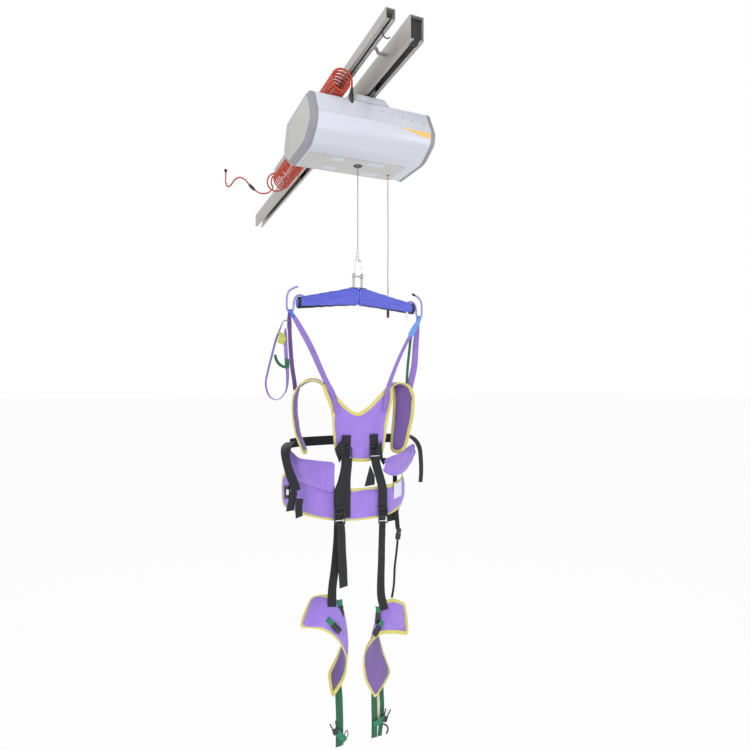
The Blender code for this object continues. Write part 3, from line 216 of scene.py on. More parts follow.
def turned(profile, at=(0, 0, 0), axis="Z", sides=28, loop=False):
    # A turned piece: each (radius, distance) of the profile sweeps a circle round the axis, Z or X
    profile = np.asarray(profile, float)
    around = np.insert(circle(1.0, sides), 2, 0, axis=1)
    points = profile[:, None, :1] * around[None] + profile[:, None, 1:] * np.array([0, 0, 1.0])
    if axis == "X":
        points = points[..., [2, 0, 1]]
    return skin(points + np.asarray(at, float), loopU=loop)


def slab(outline, at, wayA, wayB, thick, edge):
    # A plate with eased edges: its outline (a, b) at a place, along two directions, thick along their square
    outline = np.asarray(outline, float)
    a = np.asarray(wayA, float) / np.linalg.norm(wayA)
    b = unit(np.asarray(wayB, float) - a * np.dot(wayB, a))
    up = np.cross(a, b)
    levels = ((-thick / 2, edge), (-thick / 2 + edge * 0.3, edge * 0.3), (-thick / 2 + edge, 0.0),
              (thick / 2 - edge, 0.0), (thick / 2 - edge * 0.3, edge * 0.3), (thick / 2, edge))
    rings = [drawnIn(outline, inset) if inset else outline for _, inset in levels]
    rows = [ring[:, :1] * a + ring[:, 1:] * b + up * level for ring, (level, _) in zip(rings, levels)]
    return skin(np.stack(rows) + np.asarray(at, float))


def joined(*meshes):
    # Several meshes as one, each keeping its UV map
    work = bmesh.new()
    for mesh in meshes:
        work.from_mesh(mesh)
        bpy.data.meshes.remove(mesh)
    whole = bpy.data.meshes.new("joined")
    work.to_mesh(whole)
    work.free()
    return whole


def piece(name, mesh, shade, body, stands=(), crease=38):
    # Links a finished mesh as a piece of one body with its material, smooth but for edges sharper than the
    # crease
    mesh.name = name
    if crease:
        mesh.shade_smooth()
        mesh.set_sharp_from_angle(angle=math.radians(crease))
    made = bpy.data.objects.new(name, mesh)
    mesh.materials.append(shade)
    bpy.context.scene.collection.objects.link(made)
    if body:
        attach(made, body)
    if stands:
        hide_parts(*stands)
    return made


# Materials

class Wire:
    # One output of a material's node; sums on it add Math nodes
    def __init__(self, shade, socket):
        self.shade = shade
        self.socket = socket

    def sum(self, kind, first, second):
        return self.shade.node("ShaderNodeMath", {"operation": kind}, {0: first, 1: second})

    def __add__(self, other):
        return self.sum("ADD", self, other)

    def __radd__(self, other):
        return self.sum("ADD", other, self)

    def __sub__(self, other):
        return self.sum("SUBTRACT", self, other)

    def __rsub__(self, other):
        return self.sum("SUBTRACT", other, self)

    def __mul__(self, other):
        return self.sum("MULTIPLY", self, other)

    def __rmul__(self, other):
        return self.sum("MULTIPLY", other, self)

    def __abs__(self):
        return self.sum("ABSOLUTE", self, 0.0)

    def sine(self):
        return self.sum("SINE", self, 0.0)

    def above(self, edge):
        return self.sum("GREATER_THAN", self, edge)


class Nodes:
    # A node tree, and the one method that adds a node to it: its type, its settings, then its sockets
    def __init__(self, tree):
        self.tree = tree

    def feed(self, socket, value):
        if isinstance(value, Wire):
            self.tree.links.new(value.socket, socket)
        else:
            socket.default_value = value

    def node(self, kind, settings, inputs, output=0):
        made = self.tree.nodes.new(kind)
        for key, value in settings.items():
            setattr(made, key, value)
        for key, value in inputs.items():
            self.feed(made.inputs[key], value)
        return Wire(self, made.outputs[output])


class Shade(Nodes):
    # A material of one Principled shader, and the nodes that its patterns are made of
    def __init__(self, name, **plain):
        self.made = bpy.data.materials.new(name)
        self.made.use_nodes = True
        super().__init__(self.made.node_tree)
        self.shader = self.tree.nodes["Principled BSDF"]
        self.set(**plain)

    def set(self, **values):
        for key, value in values.items():
            self.feed(self.shader.inputs[key.replace("_", " ")], value)

    def place(self, axis=None, kind="Object"):
        spot = self.node("ShaderNodeTexCoord", {}, {}, kind)
        return spot if axis is None else self.node("ShaderNodeSeparateXYZ", {}, {0: spot}, axis)

    def noise(self, scale, detail=2.0, rough=0.5, stretch=None):
        spot = self.place()
        if stretch:
            spot = self.node("ShaderNodeMapping", {}, {"Vector": spot, "Scale": stretch})
        return self.node("ShaderNodeTexNoise", {},
                         {"Vector": spot, "Scale": scale, "Detail": detail, "Roughness": rough})

    def mix(self, factor, first, second):
        return self.node("ShaderNodeMix", {"data_type": "RGBA"}, {0: factor, 6: first, 7: second}, 2)

    def between(self, value, low, high):
        # 0 below the low value, 1 above the high one, smooth from one to the other
        return self.node("ShaderNodeMapRange", {"interpolation_type": "SMOOTHSTEP"},
                         {0: value, 1: low, 2: high})

    def bump(self, height, strength, distance):
        return self.node("ShaderNodeBump", {}, {"Height": height, "Strength": strength, "Distance": distance})


def ink(red, green, blue):
    # A screen colour, 0 to 255, as the linear colour that a shader takes
    share = np.array([red, green, blue]) / 255
    linear = np.where(share <= 0.04045, share / 12.92, ((share + 0.055) / 1.055) ** 2.4)
    return (*(float(part) for part in linear), 1.0)


def toned(colour, gain):
    return (*(min(1.0, part * gain) for part in colour[:3]), 1.0)


def metal(name, colour, rough, bright=0.9, grain=(60, 4, 60)):
    # Drawn metal: streaks along Y, and a slow change of gloss
    shade = Shade(name, Metallic=bright, IOR=1.5)
    streak = shade.noise(6.0, 3.0, stretch=grain)
    slow = shade.noise(9.0, 3.0)
    shade.set(Base_Color=shade.mix(streak * 0.5 + slow * 0.35, toned(colour, 0.86), toned(colour, 1.14)),
              Roughness=streak * 0.14 + slow * 0.1 + (rough - 0.12),
              Normal=shade.bump(streak, 0.12, 0.0004))
    return shade.made


def moulded(name, colour, rough, grain=900.0, gloss=0.0, toneShift=0.12):
    # Moulded plastic: fine grain, faint scuffs that dull the gloss
    shade = Shade(name, Coat_Roughness=0.2, IOR=1.48)
    fine = shade.noise(grain)
    slow = shade.noise(14.0, 4.0, 0.6)
    scuff = shade.between(shade.noise(1.0, stretch=(40, 300, 60)), 0.62, 0.78)
    wear = slow * (toneShift * 3) + scuff * toneShift
    shade.set(Base_Color=shade.mix(wear, toned(colour, 0.94), toned(colour, 1.12)),
              Roughness=fine * 0.08 + scuff * 0.12 + (rough - 0.04),
              Coat_Weight=gloss,
              Normal=shade.bump(fine * 0.6 + slow * 0.4, 0.15, 0.0003))
    return shade.made


def padCloth(name, colour, deep, sheen=0.35, pitch=0.0016):
    # Brushed padded cloth: a fine knit on all three directions, soft shading where the nap lies over
    shade = Shade(name, Sheen_Weight=sheen, Sheen_Roughness=0.55, IOR=1.4)
    across, inward, upward = ((shade.place(axis) * (turn / pitch)).sine() for axis in "XYZ")
    knit = (across + inward) * upward
    nap = shade.noise(26.0, 4.0, 0.6, (1, 1, 0.45))
    fuzz = shade.noise(1500.0)
    folds = shade.noise(22.0, stretch=(1, 1, 0.6))
    shade.set(Base_Color=shade.mix(nap * 0.75 + fuzz * 0.3 + knit * 0.05, deep, colour),
              Roughness=nap * 0.12 + 0.76,
              Normal=shade.bump(knit * 0.1 + fuzz * 0.35 + folds * 2.6, 0.5, 0.0011))
    return shade.made


def webbing(name, colour, half, rough=0.7, sheen=0.2):
    # Woven band: ribs across it in slanting pairs, grooves painted darker as shade, a plain selvage along
    # both edges
    shade = Shade(name, Sheen_Weight=sheen, Sheen_Roughness=0.5, IOR=1.45)
    across = shade.place("X", "UV")
    along = shade.place("Y", "UV")
    slant = abs(across) * 0.7 + along
    rib = (slant * (turn / 0.0021)).sine()
    thread = (across * (turn / 0.0014)).sine()
    selvage = abs(across).above(half * 0.86)
    weave = rib * (1 - selvage) * 0.5 + thread * 0.2 + selvage * 0.25
    fuzz = shade.noise(1100.0)
    slow = shade.noise(30.0, 3.0)
    # The colour follows the weave, darker in its grooves as painted shade, with fuzz and slow noise as tone
    # at random
    toneShift = weave * 0.3 + fuzz * 0.35 + slow * 0.3 + 0.1
    shade.set(Base_Color=shade.mix(toneShift, toned(colour, 0.5904), toned(colour, 1.18)),
              Roughness=fuzz * 0.15 + (rough - 0.05),
              Normal=shade.bump(weave + fuzz * 0.3, 0.4, 0.0005))
    return shade.made


def jacketed(name, colour):
    # Glossy cable jacket: long faint marks, a slight bloom
    shade = Shade(name, Coat_Roughness=0.12, IOR=1.5)
    slow = shade.noise(22.0, 3.0)
    fine = shade.noise(500.0)
    shade.set(Base_Color=shade.mix(slow, toned(colour, 0.82), toned(colour, 1.16)),
              Roughness=slow * 0.12 + fine * 0.06 + 0.26,
              Coat_Weight=0.35,
              Normal=shade.bump(fine, 0.1, 0.0002))
    return shade.made


def coatedCloth(name, colour, deep):
    # Coated sleeve cloth with a soft gloss: fine weave under the coating, faint long creases, and painted
    # shade that darkens the colour in the creases' valleys
    shade = Shade(name, Coat_Roughness=0.28, IOR=1.5, Sheen_Weight=0.1)
    weave = (shade.place("X") * (turn / 0.0012)).sine() * (shade.place("Z") * (turn / 0.0012)).sine()
    creasesAndShade = shade.noise(34.0, 3.0, 0.55, (0.5, 1, 1.6))
    slow = shade.noise(12.0)
    # The colour is darker where the creases run low, as painted shade; the slow noise is tone at random
    shade.set(Base_Color=shade.mix(creasesAndShade * 0.6 + slow * 0.4, deep, colour),
              Roughness=creasesAndShade * 0.14 + 0.3,
              Coat_Weight=creasesAndShade * 0.3 + 0.2,
              Normal=shade.bump(weave * 0.05 + creasesAndShade * 1.4, 0.45, 0.0014))
    return shade.made


colours = {
    "aluminium": ink(182, 179, 174), "steel": ink(196, 196, 196), "black": ink(38, 38, 42),
    "housing": ink(211, 213, 224), "underside": ink(203, 202, 198), "endFace": ink(193, 193, 188),
    "band": ink(150, 150, 158), "jacket": ink(184, 52, 22), "rope": ink(150, 148, 145),
    "blue": ink(92, 102, 218), "blueDeep": ink(62, 68, 172), "rod": ink(138, 138, 200),
    "purple": ink(166, 134, 226), "purpleDeep": ink(130, 98, 190), "inner": ink(128, 98, 170),
    "innerDeep": ink(96, 70, 134), "plum": ink(116, 82, 150), "lilac": ink(152, 122, 205),
    "yellow": ink(226, 216, 120), "webbing": ink(23, 26, 31), "green": ink(28, 98, 68),
    "leaf": ink(30, 128, 92), "cream": ink(222, 214, 188), "red": ink(96, 30, 30), "cord": ink(170, 70, 60),
    "sky": ink(112, 162, 236), "midBlue": ink(82, 112, 214), "label": ink(228, 228, 242),
    "tag": ink(202, 208, 104), "gold": ink(238, 190, 96),
}

aluminium = metal("drawn aluminium", colours["aluminium"], 0.42, 0.55, (70, 3, 70))
steel = metal("bright steel", colours["steel"], 0.28, 0.92, (40, 40, 40))
darkSteel = metal("plated steel", ink(120, 120, 124), 0.36, 0.8, (30, 30, 30))
blackPlastic = moulded("black plastic", colours["black"], 0.46)
housingPlastic = moulded("housing plastic", colours["housing"], 0.34, 700.0, 0.25, 0.05)
undersidePlastic = moulded("underside plastic", colours["underside"], 0.42, 700.0, 0.1, 0.05)
endPlastic = moulded("end face plastic", colours["endFace"], 0.46, 700.0, 0.05, 0.06)
bandPlastic = moulded("end band plastic", colours["band"], 0.4, 700.0, 0.1, 0.06)
redPlastic = moulded("red plastic", colours["red"], 0.38, 800.0, 0.2)
whitePlastic = moulded("white plastic", ink(214, 214, 218), 0.4, 800.0, 0.1)
rodCoat = moulded("rod coating", colours["rod"], 0.32, 500.0, 0.3)
cableJacket = jacketed("coiled cable jacket", colours["jacket"])
ropeWire = metal("rope wire", colours["rope"], 0.45, 0.75, (80, 80, 20))
pullCordYarn = webbing("pull cord yarn", colours["cord"], 0.004)
blueCover = coatedCloth("blue coated cloth", colours["blue"], colours["blueDeep"])
purpleCloth = padCloth("purple padded cloth", colours["purple"], colours["purpleDeep"])
innerCloth = padCloth("inner lining cloth", colours["inner"], colours["innerDeep"], 0.2)
yellowBinding = webbing("yellow binding", colours["yellow"], 0.02, 0.75)
blackWebbing = webbing("black webbing", colours["webbing"], 0.019, 0.72, 0.06)
lilacWebbing = webbing("lilac webbing", colours["lilac"], 0.012)
plumWebbing = webbing("plum webbing", colours["plum"], 0.012)
greenWebbing = webbing("green webbing", colours["green"], 0.011)
leafWebbing = webbing("bright green webbing", colours["leaf"], 0.011)
creamWebbing = webbing("cream webbing", colours["cream"], 0.011)
skyWebbing = webbing("light blue webbing", colours["sky"], 0.010)
midBlueWebbing = webbing("blue webbing", colours["midBlue"], 0.010)
# The gold plastic is the colour of a painted warm reflection on the casing
paintedReflectionPlastic = moulded("painted reflection plastic", colours["gold"], 0.35, 700.0, 0.2)
labelCloth = padCloth("blank label cloth", colours["label"], toned(colours["label"], 0.9), 0.1, 0.0008)
tagCloth = padCloth("tag cloth", colours["tag"], toned(colours["tag"], 0.7), 0.2, 0.0012)

print("materials made")


# Camera, floor and light

stageSetup = {"lens": 26.16, "camera": (-0.836, -2.013, -1.149), "yaw": -23.0, "shift": (0.0173, 0.004),
              "floor": -3.15, "floorWhite": 0.94, "world": 0.62}
# Each lamp's power, size and place, and the point that it looks at
lamps = {"key": (62.0, 1.6, (-2.4, -2.6, 0.6), (0, 0, -1.1)),
         "fill": (26.0, 1.8, (2.4, -2.2, -0.9), (0, 0, -1.1)),
         "rim": (30.0, 1.4, (1.2, 2.6, 0.4), (0, 0, -1.0)),
         "below": (14.0, 1.6, (-0.4, -1.6, -2.8), (0, 0, -0.6))}


def whiteToCamera(nodes, shader, plain, output, share):
    # Of what the camera, gloss and glass rays see, this share is plain white; other rays see the shader
    camera, glossy, glass = (nodes.node("ShaderNodeLightPath", {}, {}, f"Is {ray} Ray")
                             for ray in ("Camera", "Glossy", "Transmission"))
    seen = camera.sum("MAXIMUM", camera.sum("MAXIMUM", camera, glossy), glass)
    white = nodes.node(plain, {}, {"Color": (1, 1, 1, 1), "Strength": 1.0})
    mixed = nodes.node("ShaderNodeMixShader", {}, {0: seen * share, 1: Wire(nodes, shader.outputs[0]),
                                                   2: white})
    nodes.feed(nodes.tree.nodes[output].inputs["Surface"], mixed)


def areaLight(name, power, size, at, aim):
    # A round lamp, turned to look at its point
    lamp = bpy.data.lights.new(name, "AREA")
    lamp.shape = "DISK"
    lamp.size = size
    lamp.energy = power
    holder = bpy.data.objects.new(name, lamp)
    holder.location = at
    way = np.subtract(aim, at)
    flat = math.hypot(way[0], way[1])
    holder.rotation_euler = (math.atan2(flat, -way[2]), 0, math.atan2(-way[0], way[1]))
    bpy.context.scene.collection.objects.link(holder)


def studio(setup):
    # The camera at the photo's place, a level floor, a pale world and the lamps
    scene = bpy.context.scene
    view = bpy.data.cameras.new("photo camera")
    view.lens = setup["lens"]
    view.sensor_width = 36.0
    view.shift_x, view.shift_y = setup["shift"]
    camera = bpy.data.objects.new("photo camera", view)
    camera.location = setup["camera"]
    camera.rotation_euler = (math.radians(90), 0, math.radians(setup["yaw"]))
    scene.collection.objects.link(camera)
    scene.camera = camera
    scene.view_settings.view_transform = "Standard"

    floorShade = Shade("pale floor", Base_Color=(0.92, 0.92, 0.92, 1), Roughness=0.9)
    grain = floorShade.noise(3.0, 3.0)
    floorShade.set(Base_Color=floorShade.mix(grain, (0.9, 0.9, 0.9, 1), (0.94, 0.94, 0.94, 1)))
    whiteToCamera(floorShade, floorShade.shader, "ShaderNodeEmission", "Material Output", setup["floorWhite"])
    u = np.linspace(-60, 60, 13)
    grid = np.stack(np.meshgrid(u, u, indexing="ij") + [np.full((13, 13), setup["floor"])], -1)
    floorMesh = skin(grid, loopV=False, capped=False)
    floorMesh.materials.append(floorShade.made)
    floorPiece = bpy.data.objects.new("studio_floor", floorMesh)
    scene.collection.objects.link(floorPiece)

    world = bpy.data.worlds.new("studio white")
    world.use_nodes = True
    scene.world = world
    back = world.node_tree.nodes["Background"]
    back.inputs["Color"].default_value = (0.97, 0.98, 1.0, 1.0)
    back.inputs["Strength"].default_value = setup["world"]
    whiteToCamera(Nodes(world.node_tree), back, "ShaderNodeBackground", "World Output", 1.0)

    for name, lamp in lamps.items():
        areaLight(name, *lamp)


studio(stageSetup)
print("camera and studio set")


# Cables and cords

cable = {"diameter": 0.008, "leadPitch": 0.023, "coilPitch": 0.0135, "rearPitch": 0.0225, "stepsPerTurn": 20}
topCoil = {"x": -0.135, "z": -0.0693, "radius": 0.036, "near": -0.178, "far": 0.1955, "start": 20.0,
           "turns": 22.0}
rearCoil = {"x": -0.093, "z": -0.093, "radius": 0.046, "settled": 0.400, "far": 0.880, "end": 219.6,
            "drift": (-0.030, -0.010)}
leadRoute = ((-0.088, -0.150, -0.1047), (-0.088, -0.152, -0.095), (-0.0888, -0.158, -0.085),
             (-0.0912, -0.163, -0.0785), (-0.0950, -0.1715, -0.0660))
tailRoute = ((-0.128, 0.8856, -0.122), (-0.128, 0.894, -0.122), (-0.134, 0.905, -0.131),
             (-0.150, 0.911, -0.143), (-0.172, 0.914, -0.150), (-0.196, 0.919, -0.147),
             (-0.218, 0.929, -0.131), (-0.232, 0.935, -0.117), (-0.248, 0.943, -0.098),
             (-0.268, 0.951, -0.074), (-0.293, 0.962, -0.063), (-0.316, 0.985, -0.073),
             (-0.333, 1.012, -0.095), (-0.346, 1.035, -0.096), (-0.3535, 1.0440, -0.072),
             (-0.354, 1.044, -0.040), (-0.354, 1.044, -0.0163))
tailConnector = {"at": (-0.232, 0.935, -0.117), "along": (-0.030, 0.014, 0.033)}
endFitting = {"at": (-0.354, 1.044), "radius": 0.0085}


def coilPoints(near, far, pitchNear, pitchFar, startTurns, endTurns, centre):
    # A coil along Y: the turn count runs evenly, the pitch goes from one value to the other
    # and centre(y) gives the middle's X and Z and the radius
    count = int((endTurns - startTurns) * cable["stepsPerTurn"])
    share = np.linspace(0, 1, count)
    eased = share + (pitchNear - pitchFar) / (pitchNear + pitchFar) * share * (1 - share)
    y = near + (far - near) * eased
    angle = turn * (startTurns + (endTurns - startTurns) * share)
    x, z, radius = centre(y)
    return np.stack([x + radius * np.cos(angle), y, z + radius * np.sin(angle)], 1)


def topCentre(y):
    # The middle and the radius of the turns over the casing stay the same all along
    return topCoil["x"] + 0 * y, topCoil["z"] + 0 * y, topCoil["radius"] + 0 * y


def rearCentre(y):
    # The same shares as the coil's solid: the middle moves below the cable rail and the coil widens;
    # the last turns hang a little loose to the left
    share = np.interp(y, np.linspace(0.2, rearCoil["settled"], 6), (0.0, 0.0, 0.12, 0.45, 0.8, 1.0))
    loose = np.sin(np.clip((y - 0.825) / 0.055, 0, 1) * math.pi) ** 2
    return (topCoil["x"] + (rearCoil["x"] - topCoil["x"]) * share + rearCoil["drift"][0] * loose,
            topCoil["z"] + (rearCoil["z"] - topCoil["z"]) * share + rearCoil["drift"][1] * loose,
            topCoil["radius"] + (rearCoil["radius"] - topCoil["radius"]) * share)


def supplyCable():
    # The lead and the coil over the casing, the rear coil, and the straight tail with its connector
    half = cable["diameter"] / 2
    step = turn * topCoil["radius"] / cable["stepsPerTurn"]
    start = topCoil["start"] / 360
    topEnd = start + topCoil["turns"]
    coil = coilPoints(topCoil["near"], topCoil["far"], cable["leadPitch"], cable["coilPitch"], start, topEnd,
                      topCentre)
    topPath = routed(np.vstack([leadRoute, coil]), step)
    topPiece = piece("supply_lead_and_coil", rod(topPath, half, 12), cableJacket, "trolley",
                     ("cable_lead", "cable_coil_top"))
    relief = routed(leadRoute, 0.001)[:26]
    taper = np.linspace(0.0078, half + 0.0006, len(relief)) + 0.0004 * np.cos(np.arange(len(relief)) * 1.9)
    boot = piece("lead_strain_relief", rod(relief, taper, 16, domed=False), blackPlastic, "trolley")
    lengthOf(topPath)

    wanted = (0.885 - 0.2) / cable["rearPitch"]
    rearEnd = math.floor(topEnd + wanted) + rearCoil["end"] / 360
    rear = coilPoints(0.1960, rearCoil["far"], cable["coilPitch"], cable["rearPitch"], topEnd, rearEnd,
                      rearCentre)
    rearPath = routed(np.vstack([rear, tailRoute[:1]]), step)
    rearPiece = piece("supply_coil_rear", rod(rearPath, half, 12), cableJacket, None, ("supply_coil",))
    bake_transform(rearPiece)
    lengthOf(rearPath)

    tailPath = routed(tailRoute, 0.004)
    tail = piece("supply_tail_cable", rod(tailPath, half, 12), cableJacket, "track", ("supply_tail",))
    way = unit(np.array(tailConnector["along"]))
    centre = np.array(tailConnector["at"])
    profile = [(0.0044, -0.024), (0.0056, -0.022), (0.0058, -0.016), (0.0080, -0.014), (0.0085, -0.012),
               (0.0085, -0.001), (0.0078, 0.000), (0.0085, 0.001), (0.0085, 0.012), (0.0080, 0.014),
               (0.0060, 0.016), (0.0056, 0.021), (0.0044, 0.024)]
    rings = np.array(profile)
    path = centre + rings[:, 1:] * way
    side = steadySide(np.array([centre, centre + way]), (0.2, 1.0, 0.1))[:1]
    shell = skin(carried(path, np.repeat(side, len(path), 0), circle(1.0, 24), rings[:, 0]))
    connector = piece("supply_connector", shell, blackPlastic, "track", ("cable_connector",))
    x, y = endFitting["at"]
    wide = endFitting["radius"]
    cup = turned([(0.0, -0.0163), (0.0045, -0.0163), (0.0062, -0.0150), (0.0070, -0.0090), (wide, -0.0075),
                  (wide, -0.0008), (wide - 0.0008, 0.0), (0.0, 0.0)], (x, y, 0))
    fitting = piece("supply_end_fitting", cup, blackPlastic, "track", ("cable_end_fitting",))
    lengthOf(tailPath)


rope = {"diameter": 0.004, "top": -0.3030, "end": -0.6395, "lay": 0.017, "strands": 6}
pull = {"x": 0.155, "y": 0.044, "top": -0.2995, "knot": -0.769, "sleeveEnd": -0.794, "toggle": -0.860,
        "end": -0.898, "diameter": 0.003}


def liftingRope():
    # Twisted strands: a ring whose radius has one bulge for each strand, turned on as it goes down
    z = np.arange(rope["top"], rope["end"], -0.0014)
    angle = np.arange(36) * turn / 36
    phase = turn * (z - rope["top"]) / rope["lay"]
    bulge = np.abs(np.cos((angle[None] + phase[:, None]) * rope["strands"] / 2))
    radius = rope["diameter"] / 2 * (0.84 + 0.2 * bulge)
    points = np.stack([radius * np.cos(angle), radius * np.sin(angle), z[:, None] + 0 * radius], -1)
    wire = piece("lifting_rope", skin(points), ropeWire, None, ("rope",))
    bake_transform(wire)
    profile = [(0.0, -0.6382), (0.0030, -0.6382), (0.0046, -0.6392), (0.0055, -0.6412), (0.0055, -0.6520),
               (0.0049, -0.6530), (0.0055, -0.6540), (0.0055, -0.6650), (0.0048, -0.6662), (0.0031, -0.6664),
               (0.0031, -0.6802), (0.0052, -0.6804), (0.0055, -0.6812), (0.0055, -0.6842), (0.0048, -0.6850),
               (0.0, -0.6850)]
    ferrule = piece("rope_swage", turned(profile), steel, "rope_end", ("rope_ferrule",))


def pullCord():
    # A thin cord that wavers a little, its crimp, and the toggle turned round it
    z = np.arange(pull["top"], pull["toggle"] - 0.004, -0.0025)
    swing = 0.0006 * np.sin((z - pull["top"]) * 19.0)
    path = np.stack([pull["x"] + swing, pull["y"] + 0 * z, z], 1)
    radius = pull["diameter"] / 2
    line = piece("pull_cord_line", rod(path, radius, 12), pullCordYarn, "pull", ("pull_cord",))
    grip = np.array([(0.0, pull["toggle"] + 0.002), (0.0022, pull["toggle"] + 0.0016),
                     (0.0038, pull["toggle"] - 0.001), (0.0052, -0.868), (0.0060, -0.878), (0.0060, -0.886),
                     (0.0056, -0.893), (0.0044, -0.897), (0.0020, pull["end"]), (0.0, pull["end"])])
    at = (pull["x"], pull["y"], 0)
    toggle = piece("pull_handle", turned(grip, at), redPlastic, "pull", ("pull_toggle",))
    crimp = [(0.0010, pull["knot"]), (0.0021, pull["knot"] - 0.0004), (0.0024, pull["knot"] - 0.003),
             (0.0024, pull["sleeveEnd"] + 0.003), (0.0021, pull["sleeveEnd"] + 0.0004),
             (0.0010, pull["sleeveEnd"])]
    ring = piece("pull_cord_crimp", turned(crimp, at, sides=18), darkSteel, "pull")
    lengthOf(path)


supplyCable()
liftingRope()
pullCord()
print("cables and cords laid")


# Rails and what runs on them

rail = {"near": -0.490, "far": 1.820, "width": 0.050, "height": 0.079, "wall": 0.003, "slot": 0.022,
        "bolts": (-0.350, 0.620, 1.560)}
cableRail = {"x": -0.093, "near": -0.490, "far": 0.930, "width": 0.033, "height": 0.035, "wall": 0.002,
             "slot": 0.007}


def railProfile(width, height, wall, slot):
    # A box section open below, drawn once round: outside, lip, slot, inside
    half = width / 2
    gap = slot / 2
    outline = [(gap, -height), (half, -height), (half, 0), (-half, 0), (-half, -height), (-gap, -height),
               (-gap, wall - height), (wall - half, wall - height), (wall - half, -wall),
               (half - wall, -wall), (half - wall, wall - height), (gap, wall - height)]
    eased = np.array([0.0005, 0.0016, 0.0012, 0.0012, 0.0016, 0.0005, 0.0004, 0.0008, 0.0008, 0.0008, 0.0008,
                      0.0004]) * width / 0.050
    return softened(outline, eased, 4)


def rails():
    # Both rails along Y, and the bolt heads that show through the main one's slot
    profile = railProfile(rail["width"], rail["height"], rail["wall"], rail["slot"])
    span = np.array([[0, rail["near"], 0], [0, rail["far"], 0]], float)
    stations = span[0] + np.linspace(0, 1, 9)[:, None] * (span[1] - span[0])
    bar = skin(carried(stations, (-1.0, 0, 0), profile))
    heads = []
    for y in rail["bolts"]:
        head = [(0.0, -0.0066), (0.0048, -0.0066), (0.0058, -0.0060), (0.0062, -0.0048), (0.0062, -0.0034),
                (0.0, -0.0034)]
        heads.append(turned(head, (0, y, 0), sides=20))
    piece("ceiling_rail", bar, aluminium, "track", ("main_rail",))
    piece("rail_bolts", joined(*heads), darkSteel, "track")
    profile = railProfile(cableRail["width"], cableRail["height"], cableRail["wall"], cableRail["slot"])
    stations = np.linspace((cableRail["x"], cableRail["near"], 0), (cableRail["x"], cableRail["far"], 0), 7)
    piece("cable_channel", skin(carried(stations, (-1.0, 0, 0), profile)), aluminium, "track",
          ("cable_rail",))


rails()
print("rails made")


# Hoist casing

casing = {"half": 0.228, "wall": 0.003, "seam": -0.204}
shoulderLine = [(0.130, -0.110), (0.149, -0.1224), (0.190, -0.2036)]
bellyLine = [(0.190, -0.2044), (0.184, -0.250), (0.106, -0.300)]
# The saddle's rings, up its outside and down its inside: left, right, half depth, height, corner radius
saddleRings = ((-0.090, 0.086, 0.130, -0.1097, 0.012), (-0.0885, 0.0845, 0.1296, -0.1084, 0.012),
               (-0.068, 0.064, 0.1276, -0.0872, 0.014), (-0.065, 0.061, 0.1262, -0.085, 0.014),
               (-0.061, 0.057, 0.1235, -0.0841, 0.014), (-0.0065, 0.0065, 0.0505, -0.084, 0.003),
               (-0.0065, 0.0065, 0.0505, -0.086, 0.003), (-0.060, 0.056, 0.122, -0.0862, 0.013),
               (-0.086, 0.082, 0.127, -0.1097, 0.010))


def shellOutline(line, radii, wall):
    # The half line and its mirror, then the same line drawn in by the wall's thickness
    right = np.array(line)
    whole = np.vstack([right[::-1] * (-1, 1), right])
    middle = np.array([0.0, casing["seam"]])
    way = unit(middle - whole) * wall
    inner = whole + way * (1.15, 1.0)
    inner[0] = whole[0] + (wall, 0)
    inner[-1] = whole[-1] - (wall, 0)
    corners = np.vstack([whole, inner[::-1]])
    both = list(radii[::-1]) + list(radii)
    return softened(corners, np.array(both + [max(0.0004, r * 0.9) for r in both[::-1]]), 7)


